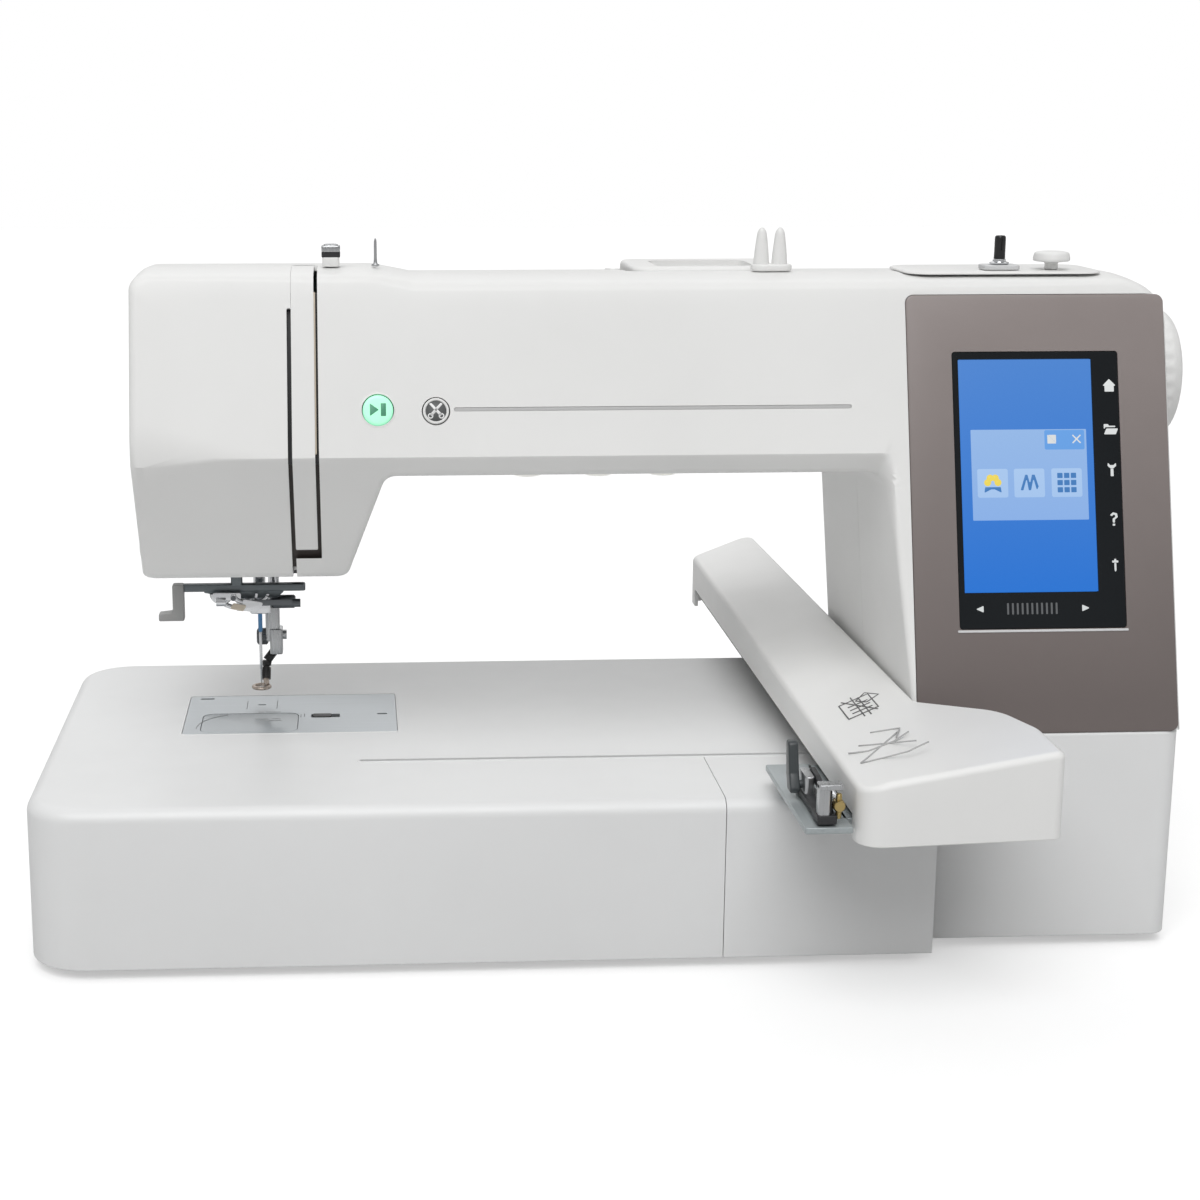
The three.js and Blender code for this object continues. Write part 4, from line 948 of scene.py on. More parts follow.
def armTop(x, y, a):
    # the top rises from the left rim to the right, a little more towards the back
    share = np.clip((x - a["left"]) / (a["right"] - a["left"]), 0, 1)
    back = np.clip((y - a["front"]) / (a["backRight"] - a["front"]), 0, 1)
    left = a["topLeft"] + 4.5 * back
    ease = share * share * (3 - 2 * share) * 0.35 + share * 0.65
    return left + (a["topRight"] - left) * ease


def armShell(a):
    corners = [
        (a["left"], a["front"], 11),
        (a["footRight"], a["front"] + 8, 5),
        (a["footRight"], -34, 24),
        (a["footRight"] - 9, a["footBack"] - 18, 22),
        (a["right"], a["footBack"], 4),
        (a["right"] - a["taper"], a["backRight"], 9),
        (a["left"], a["backLeft"], 9),
    ]
    points, normals = roundedOutline(corners, 10)

    def ringsFor(inset, lift, rim, low):
        t = np.linspace(0, math.pi / 2, 8)
        rimInset = inset + rim * (1 - np.cos(t))
        rings = []
        start = points - normals * inset
        for z in (low, low + 0.01):
            rings.append(np.column_stack([start, np.full(len(start), z)]))
        for k in range(8):
            p = points - normals * rimInset[k]
            z = armTop(points[:, 0], points[:, 1], a) - lift - rim + rim * math.sin(t[k])
            rings.append(np.column_stack([p, z]))
        return np.array(rings)

    outside = ringsFor(0, 0, a["rim"], a["bottom"] + 0.4)
    foot = outside[:1].copy()
    foot[0, :, :2] = points - normals * 0.4
    foot[0, :, 2] = a["bottom"]
    outside = np.concatenate([foot, outside])
    inside = ringsFor(a["wall"], a["wall"], 1.2, a["bottom"] - 6)
    form = ringStack("armShell", outside)
    carve(form, [ringStack("armInner", inside)])
    slideCut = block(
        "slideCut", a["left"] - 6, a["left"] + a["wall"] + 1.5, a["front"] + 16, a["backLeft"] - 14, 70,
        97, 0.5
    )
    return carve(form, [slideCut])


dress(smooth(armShell(arm), 28), "shell", "shell", "embroidery_arm", "arm_cover")
# painted shadow: a dark strip along the upper edge of the slot in the arm's left wall stands in for the
# slot's shadow gap
slotShadowStrip = block(
    "armSlotShadow", arm["left"] + 0.4, arm["left"] + arm["wall"] - 0.2, arm["front"] + 17,
    arm["backLeft"] - 15, 95.8, 97.3
)
dress(slotShadowStrip, "blackMatte", "black_matte", "embroidery_arm")
print("embroidery arm made")

# control panel, glass and display, all on the leaning front
lcdLow, lcdHigh = layoutBox("lcd_panel")
display = {
    "left": lcdLow[0],
    "right": lcdHigh[0],
    "bottom": lcdLow[2] + 2.2,
    "top": lcdHigh[2] - 0.2,
    "litDepth": 0.34,
    "sheetDepth": 0.24,
    "tileDepth": 0.16,
    "iconDepth": 0.08,
    "window": (204.6, 246.4),
    "windowSides": (450.2, 506.4),
    "heads": (486.0, 505.4),
    "arrows": (452.0, 503.4),
    "ticks": (465.2, 490.0),
    "tileRow": 221.7,
    "tiles": (460.2, 478.0, 496.2),
    "header": (489.5, 501.6),
    "footRow": 164.0,
    "column": 518.4,
    "columnRows": (266.5, 246.2, 227.6, 204.6, 183.2),
}

# outlines in a square two units wide
glyphs = {
    "home": [
        [(-1, -0.05), (0, 0.95), (1, -0.05), (0.68, -0.05), (0.68, -0.9), (-0.68, -0.9), (-0.68, -0.05)]
    ],
    "folder": [
        [(-1, -0.75), (0.75, -0.75), (1.1, 0.1), (-0.62, 0.1)],
        [(-1, -0.35), (-0.8, 0.3), (0.7, 0.3), (0.7, 0.5), (-0.2, 0.5), (-0.4, 0.75), (-1, 0.75)],
    ],
    "spanner": [
        [(-0.22, -1), (0.22, -1), (0.2, 0.1), (-0.2, 0.1)],
        [
            (-0.2, 0.14), (0.2, 0.14), (0.62, 0.5), (0.62, 1), (0.25, 0.62), (-0.25, 0.62), (-0.62, 1),
            (-0.62, 0.5)
        ],
    ],
    "hook": [
        [(-0.16, -0.5), (0.16, -0.5), (0.16, -0.05), (0.6, 0.3), (0.5, 0.85), (-0.1, 1), (-0.55, 0.6),
         (-0.25, 0.45), (0, 0.68), (0.25, 0.55), (0.22, 0.32), (-0.16, 0.08)],
        [(-0.18, -0.95), (0.18, -0.95), (0.18, -0.65), (-0.18, -0.65)],
    ],
    "needle": [
        [(0, -1), (0.14, -0.6), (0.14, 0.4), (-0.14, 0.4), (-0.14, -0.6)],
        [
            (-0.45, 0.45), (0.45, 0.45), (0.45, 0.75), (0.14, 0.75), (0.14, 1), (-0.14, 1), (-0.14, 0.75),
            (-0.45, 0.75)
        ],
    ],
    "arrow": [[(-0.8, -0.7), (0.8, 0), (-0.8, 0.7)]],
    "frame": [[(-1, -1), (1, -1), (1, -0.78), (-0.78, -0.78), (-0.78, 1), (-1, 1)],
              [(-0.74, 0.78), (0.78, 0.78), (0.78, -0.74), (1, -0.74), (1, 1), (-0.74, 1)]],
    "wave": [[(-1, -0.8), (-0.7, -0.8), (-0.3, 0.5), (-0.1, -0.8), (0.15, -0.8), (0.45, 0.5), (0.8, -0.8),
              (1, -0.4), (0.6, 0.9), (0.3, 0.9), (0.05, -0.1), (-0.2, 0.9), (-0.45, 0.9)]],
    "play": [[(-1, -0.8), (0.1, 0), (-1, 0.8)], [(0.35, -0.8), (1, -0.8), (1, 0.8), (0.35, 0.8)]],
}


def frontGlyph(name, outlines, x, z, half, depth, thick=0.12, mirror=1):
    # thin plates on the leaning front, one for each outline
    made = []
    for number, outline in enumerate(outlines):
        corners = [(x + u * half * mirror, upFront(z) + v * half, 0.02) for u, v in outline]
        made.append(slab(f"{name}{number}", corners, depth, depth + thick, (0.01, 0.01), "y", onFront, 2, 2))
    return made


def frontDisc(name, x, z, radius, depth, thick=0.12, segments=28):
    profile = [(0.01, depth), (radius, depth), (radius, depth + thick), (0.01, depth + thick)]
    return turned(name, profile, "y", (x, 0, upFront(z)), segments, onFront)


# painted shade and painted reflection: the taupe panel's colour is darker towards its foot and lighter
# towards its top
panelPaintedShade = shadeGradedPlastic("taupePanelPaintedShade", (0.150, 0.127, 0.121), (0.290, 0.252, 0.243), 0.12, 0.31, 0.32)
screenGlow = glowing("screenBlue", (0.018, 0.170, 0.640), (0.072, 0.232, 0.630), 0.17, 0.28)
sheetGlow = glowing("sheetBlue", (0.250, 0.430, 0.790), (0.300, 0.480, 0.790), 0.20, 0.25)
tileGlow = glowing("tileBlue", (0.36, 0.54, 0.84), (0.42, 0.60, 0.86), 0.20, 0.25)
inkGlow = glowing("inkBlue", (0.055, 0.19, 0.48), (0.065, 0.22, 0.52), 0.20, 0.25)
headGlow = glowing("headBlue", (0.12, 0.33, 0.74), (0.14, 0.36, 0.78), 0.20, 0.25)
sunGlow = glowing("petalYellow", (0.80, 0.62, 0.08), (0.90, 0.75, 0.15), 0.20, 0.25)
whiteGlow = glowing("iconWhite", (0.72, 0.75, 0.75), (0.82, 0.84, 0.84), 0.15, 0.28, 0.9)
tickGlow = glowing("tickGrey", (0.13, 0.135, 0.14), (0.16, 0.165, 0.17), 0.15, 0.28, 0.9)


def controlPanel(d):
    corners = rectangle(panelLow[0], panelHigh[0], upFront(panelLow[2]), upFront(panelHigh[2] + 0.1), 4)
    panel = slab("panelPlate", corners, 0.0, 1.4, (0.7, 0.1), "y", onFront, 10)
    carve(
        panel,
        [
            frontBlock(
                "bezelHole", bezelLow[0] - 0.3, bezelHigh[0] + 0.3, -3, 4, opening["low"],
                opening["high"], 1.6
            )
        ]
    )
    dress(smooth(panel), panelPaintedShade, "taupe", "machine", "control_panel")
    glass = frontBlock(
        "screenGlass", bezelLow[0], bezelHigh[0], 0.25, 5, opening["low"] + 0.3, opening["high"] - 0.3,
        1.4
    )
    carve(
        glass,
        [
            frontBlock(
                "litHole", d["left"] - 0.25, d["right"] + 0.25, -2, 3.4, d["bottom"] - 0.25,
                d["top"] + 0.25
            )
        ]
    )
    dress(smooth(glass), "blackGloss", "black_gloss", "machine", "screen_bezel")
    lit = frontBlock("litDisplay", d["left"], d["right"], d["litDepth"], 2.9, d["bottom"], d["top"])
    dress(lit, screenGlow, "screen", "machine", "lcd_panel")
    # painted highlight: a light grey strip along the bezel's lower edge stands in for the pocket's chamfer
    # catching light
    lip = slab(
        "bezelEdgeHighlight", rectangle(
            bezelLow[0] - 1.2, bezelHigh[0] + 1.0, upFront(opening["low"] - 1.4),
            upFront(opening["low"] - 0.3), 0.5
        ),
        -0.35, 0.6, (0.2, 0.1), "y", onFront
    )
    dress(lip, "linerGrey", "taupe", "machine")


def screenSheet(d):
    low, high = d["window"]
    sheet = [frontBlock("sheet", *d["windowSides"], d["sheetDepth"], d["litDepth"], low, high, 0.4)]
    dress(joined("screenSheet", sheet), sheetGlow, "screen", "machine")
    tiles = [
        frontBlock(
            "tile", x - 7.4, x + 7.4, d["tileDepth"], d["sheetDepth"], d["tileRow"] - 6.6,
            d["tileRow"] + 6.6, 1
        )
        for x in d["tiles"]
    ]
    tiles += frontGlyph(
        "mark", glyphs["frame"], d["tiles"][2], d["tileRow"], 4.4, d["tileDepth"] - 0.04, 0.04
    )
    dress(joined("screenTiles", tiles), tileGlow, "screen", "machine")
    heads = [frontBlock("head", *d["heads"], d["tileDepth"], d["sheetDepth"], 237.0, 246.0, 0.8)]
    dress(joined("screenHeads", heads), headGlow, "screen", "machine")
    petals = [
        frontDisc(
            "petal", d["tiles"][0] + 2.5 * math.cos(a), d["tileRow"] + 0.3 + 2.4 * math.sin(a), 1.7,
            d["iconDepth"]
        )
        for a in np.radians([0, 60, 120, 180])
    ]
    dress(joined("screenFlower", petals), sunGlow, "screen", "machine")
    x, z = d["tiles"][0], d["tileRow"]
    ink = frontGlyph(
        "stalk", [[(-1, -0.9), (-0.2, -0.5), (0.2, -0.5), (1, -0.9), (0.9, -0.25), (-0.9, -0.25)]], x,
        z - 0.8, 4.2, d["iconDepth"]
    )
    ink += frontGlyph("wave", glyphs["wave"], d["tiles"][1], z, 4.4, d["iconDepth"])
    grid = [-3.3, 0, 3.3]
    ink += [
        frontBlock(
            "cell", d["tiles"][2] + a - 1.3, d["tiles"][2] + a + 1.3, d["iconDepth"],
            d["iconDepth"] + 0.1, z + b - 1.2, z + b + 1.2
        )
        for a in grid
        for b in grid
    ]
    dress(joined("screenInk", ink), inkGlow, "screen", "machine")
    lines = frontGlyph("lens", glyphs["frame"], d["header"][0], 241.8, 2.1, d["iconDepth"])
    lines += frontGlyph(
        "cross",
        [[(-1, -0.8), (-0.8, -1), (1, 0.8), (0.8, 1)], [(-1, 0.8), (0.8, -1), (1, -0.8), (-0.8, 1)]],
        d["header"][1], 241.8, 2.2, d["iconDepth"]
    )
    for z, key in zip(d["columnRows"], ("home", "folder", "spanner", "hook", "needle")):
        lines += frontGlyph(key, glyphs[key], d["column"], z, 3.3, d["iconDepth"])
    lines += frontGlyph("right", glyphs["arrow"], d["arrows"][1], d["footRow"], 2.3, d["iconDepth"])
    lines += frontGlyph("left", glyphs["arrow"], d["arrows"][0], d["footRow"], 2.3, d["iconDepth"], mirror=-1)
    dress(joined("screenIcons", lines), whiteGlow, "screen", "machine")
    ticks = [
        frontBlock(
            "tick", x, x + 0.9, d["iconDepth"], d["iconDepth"] + 0.12, d["footRow"] - 2.6,
            d["footRow"] + 2.6
        )
        for x in np.arange(*d["ticks"], 2.35)
    ]
    dress(joined("screenTicks", ticks), tickGlow, "screen", "machine")


controlPanel(display)
screenSheet(display)
print("panel and display made")


# buttons and the inlaid line
def startButton():
    r = startRadius
    cap = turned(
        "startCap", softTurn([(0.01, -1.0), (r - 1.2, -1.0), (r, -0.3), (r, 6), (0.01, 6)], 5), "y",
        (startX, 0, upFront(startZ)), 64, onFront
    )
    dress(smooth(cap), "mint", "mint", "start_button", "start_button")
    mark = frontGlyph("startMark", glyphs["play"], startX, startZ, 3.8, -1.08, 0.1)
    dress(joined("startSymbol", mark), "markGreen", "mint", "start_button")
    ring = turned(
        "startRing", [(r + 0.4, -0.25), (r + 1.3, -0.1), (r + 1.3, 0.5), (r + 0.4, 0.5)], "y",
        (startX, 0, upFront(startZ)), 64, onFront, True
    )
    dress(smooth(ring), "shell", "shell", "machine")


def cutterButton():
    r = cutterRadius
    place = (cutterX, 0, upFront(cutterZ))
    rim = softTurn([(r - 1.3, -0.45), (r - 1.1, -0.8), (r - 0.3, -0.8), (r, -0.4), (r, 6), (0.01, 6)], 4)
    cap = turned("cutterCap", np.concatenate([[(0.01, -0.45)], rim]), "y", place, 64, onFront)
    dress(smooth(cap), "shell", "shell", "cutter_button", "thread_cutter_button")
    dress(
        frontDisc("cutterDisc", cutterX, cutterZ, r - 1.35, -0.62, 0.2, 56), "cutterGrey", "black_matte",
        "cutter_button"
    )
    blades = frontGlyph(
        "blade",
        [
            [(-0.75, -0.5), (-0.5, -0.75), (0.85, 0.8), (0.55, 0.9)],
            [(0.75, -0.5), (0.5, -0.75), (-0.85, 0.8), (-0.55, 0.9)]
        ],
        cutterX, cutterZ + 0.3, 3.9, -0.72, 0.12
    )
    for side in (-1, 1):
        hub = (cutterX + side * 2.6, 0, upFront(cutterZ - 2.3))
        blades.append(
            turned(
                "bow", [(0.75, -0.72), (1.35, -0.72), (1.35, -0.6), (0.75, -0.6)], "y", hub, 24, onFront,
                True
            )
        )
    dress(joined("cutterMark", blades), "linerWhite", "shell", "cutter_button")


startButton()
cutterButton()
inlay = frontBlock(
    "inlaidLine", groove["from"] + 0.2, groove["to"] - 0.2, 0.25, groove["depth"] + 0.05, startZ - 0.75,
    startZ + 0.75, 0.6
)
dress(inlay, "lineGrey", "grey_shell", "machine")

# what shows behind the slits: a dark liner, a dark brown sheet at the window's foot that is painted shadow,
# and a cream rail beside the strip
liner = frontBlock(
    "slitLiner", slits["left"] - 1.5, slits["right"] + 2, slits["liner"], 6.5, 234, slits["linerTop"]
)
dress(liner, "blackMatte", "black_matte", "machine")
linerTop = (undercutDepth(body["crease"]) + slits["liner"], body["crease"])
linerFoot = (undercutDepth(174) + slits["liner"], 174)
# painted shadow: this dark brown sheet behind the window's foot stands in for the shadow gap under the
# strip's foot
footShadowSheet = slab(
    "slitFootShadow",
    [
        (*linerTop, 0.3), (*linerFoot, 0.3), (linerFoot[0] + 4, linerFoot[1], 0.3),
        (linerTop[0] + 4, linerTop[1], 0.3)
    ],
    slits["left"] - 1.5, slits["right"] + 2, axis="x"
)
dress(footShadowSheet, "slitShadowBrown", "black_matte", "machine")
rail = frontBlock(
    "slitRail", slits["stripRight"] - 0.6, slits["stripRight"] + 0.75, 1.2, 3.2, 238, slits["linerTop"],
    0.3
)
dress(rail, "cream", "shell", "machine")


def undercutMarks():
    # small printed marks on the undercut: a ring and a bar beside each slit
    def onUndercut(points):
        p = np.array(points, float)
        return np.stack([p[..., 0], undercutDepth(p[..., 2]) + p[..., 1], p[..., 2]], axis=-1)

    made = []
    for x, z in ((130.0, 196.0), (135.2, 201.5), (119.0, 184.0), (121.5, 177.0)):
        ring = [(0.9, 0.05), (1.3, 0.05), (1.3, -0.06), (0.9, -0.06)]
        made.append(turned("markRing", ring, "y", (x, 0, z), 20, onUndercut, True))
        corners = [
            (x - 0.22, z + 1.2, 0.05), (x + 0.22, z + 1.2, 0.05), (x + 0.22, z + 4, 0.05),
            (x - 0.22, z + 4, 0.05)
        ]
        made.append(slab("markBar", corners, -0.06, 0.05, (0.01, 0.01), "y", onUndercut, 2, 2))
    return joined("undercutMarks", made)


dress(undercutMarks(), "markGrey", "grey_shell", "machine")

# lamp housing: three shallow lenses under the arm
lampLow, lampHigh = layoutBox("lamp_lens")


def lampLenses(low, high):
    made = []
    for x in (240, 275, 307):
        profile = softTurn(
            [(0.01, low[2] - 2.6), (6, low[2] - 2.4), (9.2, low[2] - 0.4), (9.2, high[2]), (0.01, high[2])],
            4
        )
        made.append(turned("lamp", profile, "z", (x, 95, 0), 40))
    return smooth(joined("lampLenses", made))


dress(lampLenses(lampLow, lampHigh), "lens", "lens", "machine", "lamp_lens")


# needle area
needleLow, needleHigh = layoutBox("needle_bar")
needleX = (needleLow[0] + needleHigh[0]) / 2
needleY = (needleLow[1] + needleHigh[1]) / 2
footLow, footHigh = layoutBox("presser_foot")
barLow, barHigh = layoutBox("presser_bar")
presserX, presserY = (barLow[0] + barHigh[0]) / 2, (barLow[1] + barHigh[1]) / 2
clampLow, clampHigh = layoutBox("needle_clamp")
threadLow, threadHigh = layoutBox("needle_threader")


def roundBar(name, x, y, radius, low, high):
    chamfer = 0.4
    profile = [
        (0.01, low), (radius - chamfer, low), (radius, low + chamfer), (radius, high - chamfer),
        (radius - chamfer, high), (0.01, high)
    ]
    return turned(name, profile, "z", (x, y, 0), 48)


def knurled(name, radius, low, high, axis, centre, ridges=20):
    # a thumb screw's rim: r (1 + 0.05 cos(ridges * a))
    a = np.linspace(0, 2 * math.pi, ridges * 6, endpoint=False)
    profile = np.array(
        [
            (0.02, low), (radius * 0.8, low), (radius, low + 0.8), (radius, high - 0.8),
            (radius * 0.8, high), (0.02, high)
        ]
    )
    wave = 1 + 0.05 * np.cos(ridges * a) * (profile[:, :1] > radius * 0.9)
    r = profile[:, :1] * wave
    flat = np.stack([r * np.cos(a), r * np.sin(a), np.broadcast_to(profile[:, 1:2], r.shape)], axis=-1)
    return ringStack(name, turnTo(axis, flat) + np.array(centre, float))


def needleParts():
    bar = roundBar("needleBar", needleX, needleY, 3.2, needleLow[2], needleHigh[2])
    dress(smooth(bar), "chrome", "chrome", "needle_bar", "needle_bar")
    bottom, top = clampLow[2], clampHigh[2]
    body = block("clampBody", needleX - 5, needleX + 6, needleY - 5.5, needleY + 5.5, bottom, top, 1.6, 0.7)
    boss = turned(
        "clampBoss",
        [
            (0.02, needleX - 9), (2.6, needleX - 9), (3.3, needleX - 8), (3.3, needleX - 4),
            (0.02, needleX - 4)
        ],
        "x", (0, needleY, bottom + 4), 32
    )
    wing = block(
        "clampWing", needleX - 12, needleX - 4, needleY - 6.5, needleY - 4.5, bottom + 2, top - 2, 1, 0.3
    )
    dress(smooth(joined("needleClamp", [body, boss, wing])), "chrome", "chrome", "needle_bar", "needle_clamp")
    screw = knurled("clampScrew", 3.4, needleX + 6.2, clampHigh[0], "x", (0, needleY, (bottom + top) / 2), 14)
    dress(smooth(screw, 50), "steelDark", "steel", "needle_bar")
    tip = layoutBox("needle")[0][2]
    blade = [
        (0.03, tip), (0.42, tip + 3), (0.5, tip + 9), (0.78, tip + 10), (0.8, bottom - 12),
        (0.6, bottom - 11)
    ]
    dress(
        smooth(turned("needleBlade", blade, "z", (needleX, needleY, 0), 20)), "chrome", "chrome",
        "needle_bar", "needle"
    )
    shank = [
        (0.4, bottom - 11.3), (0.95, bottom - 10.5), (1.15, bottom - 9), (1.15, bottom + 0.4),
        (0.02, bottom + 0.4)
    ]
    dress(
        smooth(turned("needleShank", shank, "z", (needleX, needleY, 0), 24)), "tapeBlue", "steel",
        "needle_bar"
    )


def presserParts():
    bar = roundBar("presserBar", presserX, presserY, 3, barLow[2], barHigh[2])
    dress(smooth(bar), "chrome", "chrome", "presser_bar", "presser_bar")
    top = footHigh[2]
    holder = block(
        "footHolder", presserX - 4.6, presserX + 2.8, presserY - 6, presserY + 4, top - 8, top + 11, 1.2,
        0.6
    )
    face = block(
        "holderFace", presserX - 2.4, presserX + 4.4, presserY - 7, presserY + 3, top - 15, top - 1, 1.4,
        0.6
    )
    nut = turned(
        "holderNut",
        [(0.02, presserX + 4), (2.6, presserX + 4), (2.6, presserX + 6.5), (0.02, presserX + 6.5)], "x",
        (0, presserY - 2, top - 5), 24
    )
    dress(smooth(joined("presserHolder", [holder, face, nut])), "steelBright", "steel", "presser_bar")
    screw = knurled(
        "presserScrew", 4.3, presserX - 9.5, presserX - 3.4, "x", (0, presserY - 1.5, top - 6), 18
    )
    dress(smooth(screw, 50), "steelDark", "black_matte", "presser_bar")
    low = footLow[2]
    path = [
        (presserX + 1.6, presserY - 1, top - 13), (presserX + 1.2, presserY - 1.2, low + 20.5),
        (presserX - 1.6, presserY - 2.6, low + 17), (presserX - 4, presserY - 3.3, low + 14),
        (presserX - 4.6, presserY - 3.6, low + 11), (presserX - 4.8, presserY - 7.6, low + 4.4)
    ]
    t = np.linspace(0, len(path) - 1, 26)
    route = np.stack([np.interp(t, np.arange(len(path)), np.array(path)[:, k]) for k in range(3)], axis=1)
    leg = along("footLeg", route, np.interp(t, [0, 2, 5], [2.9, 2.4, 2.5]), 20)
    dress(smooth(leg, 50), "blackSatin", "black_matte", "presser_bar", "presser_foot")
    a = np.linspace(0, 2 * math.pi, 16, endpoint=False)
    rim = np.stack([4.2 + 1.1 * np.cos(a), low + 1.3 + 1.0 * np.sin(a)], axis=1)
    ring = turned("footRing", rim, "z", (needleX, needleY, 0), 48, closed=True)
    toe = along(
        "footToe",
        [
            (presserX - 4.8, presserY - 7.6, low + 5), (presserX - 4.6, presserY - 9.2, low + 3),
            (presserX - 4.4, presserY - 10.2, low + 1.8)
        ],
        1.5, 16
    )
    dress(smooth(joined("footTip", [ring, toe]), 50), "footTip", "steel", "presser_bar")


def threaderParts():
    low, high = threadLow, threadHigh
    z = low[2] + 15.4
    y0, y1 = needleY - 13, needleY - 8
    bar = block("threaderBar", needleX - 40, needleX + 24.6, y0, y1, z, z + 3.9, 1.6, 0.6)
    ramp = slab(
        "threaderRamp",
        [
            (needleX - 34, z + 0.4, 0.6), (needleX - 12, z - 4, 0.8), (needleX + 10, z - 3.6, 0.8),
            (needleX + 14, z + 0.4, 0.6)
        ],
        y0 + 1, y1 - 1.5, (0.2, 0.2), "y"
    )
    stem = block("threaderStem", needleX - 14.4, needleX - 8.4, y0, y1, z + 3, high[2], 1, 0.3)
    dress(
        smooth(joined("threaderBar", [bar, ramp, stem])), "darkSteel", "black_matte", "threader",
        "needle_threader"
    )
    right = needleX - 39.1
    lever = slab(
        "threaderLever",
        [
            (right - 6, z + 4, 1), (right - 6, z - 10.6, 1.4), (low[0], z - 11.4, 1),
            (low[0], z - 15.4, 0.8), (right, z - 15.4, 1), (right, z + 4, 1)
        ],
        y0 - 1, y1 + 1, (0.7, 0.7), "y"
    )
    dress(smooth(lever), "leverGrey", "grey_shell", "threader")
    # the threader's wire hooks, small plates and rollers below the bar
    curve = np.linspace(0, math.pi, 24)
    silver = []
    for cx, span, drop, y in [
        (needleX - 11, 10, 7.5, y0 - 1.5), (needleX - 4, 9, 5, y0 - 3), (needleX - 19, 5, 4.5, y0 - 2)
    ]:
        route = np.stack([cx - span * np.cos(curve), np.full(24, y), z - 0.6 - drop * np.sin(curve)], axis=1)
        silver.append(along("threaderHook", route, np.linspace(1.5, 0.9, 24), 14))
    silver.append(
        slab(
            "threaderPlate", rectangle(needleX - 24, needleX - 9, z - 4, z + 0.2, 1.2), y0 - 3.4,
            y0 - 2.2, (0.3, 0.3), "y"
        )
    )
    silver.append(
        slab(
            "threaderTab",
            [
                (needleX - 9, z - 9, 1), (needleX - 1, z - 10.5, 1), (needleX + 3, z - 5, 1),
                (needleX - 8, z - 3, 1)
            ],
            y0 - 4.4, y0 - 3.4, (0.2, 0.2), "y"
        )
    )
    silver.append(
        turned(
            "threaderRoller",
            [(0.02, needleX - 22), (2.4, needleX - 22), (2.4, needleX - 17), (0.02, needleX - 17)], "x",
            (0, y0 - 3, z - 4.6), 24
        )
    )
    dress(smooth(joined("threaderHooks", silver), 50), "chrome", "chrome", "threader")
    dark = [
        slab(
            "threaderArm", rectangle(needleX - 4, needleX + 20, z - 6.8, z - 3.6, 1.2), y0 - 4.2,
            y0 - 2.6, (0.3, 0.3), "y"
        ),
        turned(
            "threaderKnob",
            [(0.02, needleX + 18), (2.2, needleX + 18), (2.2, needleX + 22), (0.02, needleX + 22)], "x",
            (0, y0 - 3.4, z - 5.6), 20
        ),
        turned(
            "threaderPivot", [(0.02, y0 - 5), (1.4, y0 - 5), (1.4, y0 - 2), (0.02, y0 - 2)], "y",
            (needleX - 13, 0, z - 2.5), 20
        ),
    ]
    dress(smooth(joined("threaderArm", dark)), "steelDark", "steel", "threader")
    pad = slab(
        "threaderPad",
        [
            (needleX - 15, z - 8, 0.8), (needleX - 8, z - 9.5, 0.8), (needleX - 6, z - 6.4, 0.8),
            (needleX - 13, z - 5, 0.8)
        ],
        y0 - 5.2, y0 - 4.5, (0.2, 0.2), "y"
    )
    dress(smooth(pad), "cream", "steel", "threader")


needleParts()
presserParts()
threaderParts()
print("needle area made")


# needle plate
lidLow, lidHigh = layoutBox("bobbin_cover")
releaseLow, releaseHigh = layoutBox("cover_release")
plate = {
    "left": plateLow[0], "right": plateHigh[0], "front": plateLow[1], "rear": plateHigh[1],
    "low": plateLow[2], "top": plateHigh[2]
}


def needlePlate(p):
    piece = slab(
        "needlePlate", rectangle(p["left"], p["right"], p["front"], p["rear"], 2), p["low"],
        p["top"] + 0.12, (0.1, 0.25)
    )
    carve(piece, [
        block("lidHole", lidLow[0] - 0.25, lidHigh[0] + 0.25, lidLow[1] - 0.25, lidHigh[1] + 0.25, 70, 90, 6),
        block("needleHole", needleX - 2.2, needleX + 2.2, needleY - 0.9, needleY + 0.9, 70, 90, 0.8),
        block(
            "releaseHole", releaseLow[0] - 0.8, releaseHigh[0] + 4.3, releaseLow[1] - 0.3,
            releaseHigh[1] + 0.3, 70, 90, 0.8
        ),
        block("pinHole", p["left"] + 5.4, p["left"] + 13, p["rear"] - 6.6, p["rear"] - 4.2, 70, 90, 1),
        block("ovalHole", p["right"] - 10.2, p["right"] - 4.8, 156, 158.4, 70, 90, 1),
    ])
    return smooth(piece)


dress(needlePlate(plate), "plateSteel", "steel", "machine", "needle_plate")
lid = slab(
    "bobbinLid", rectangle(lidLow[0], lidHigh[0], lidLow[1], lidHigh[1], 6), lidLow[2], lidHigh[2] + 0.05,
    (0.1, 0.3)
)
dress(smooth(lid), "lidPlastic", "clear", "machine", "bobbin_cover")
release = slab(
    "releaseCatch", rectangle(releaseLow[0], releaseHigh[0], releaseLow[1], releaseHigh[1], 1.2),
    releaseLow[2], releaseHigh[2], (0.1, 0.4)
)
dress(smooth(release), "blackMatte", "black_matte", "cover_release", "cover_release")


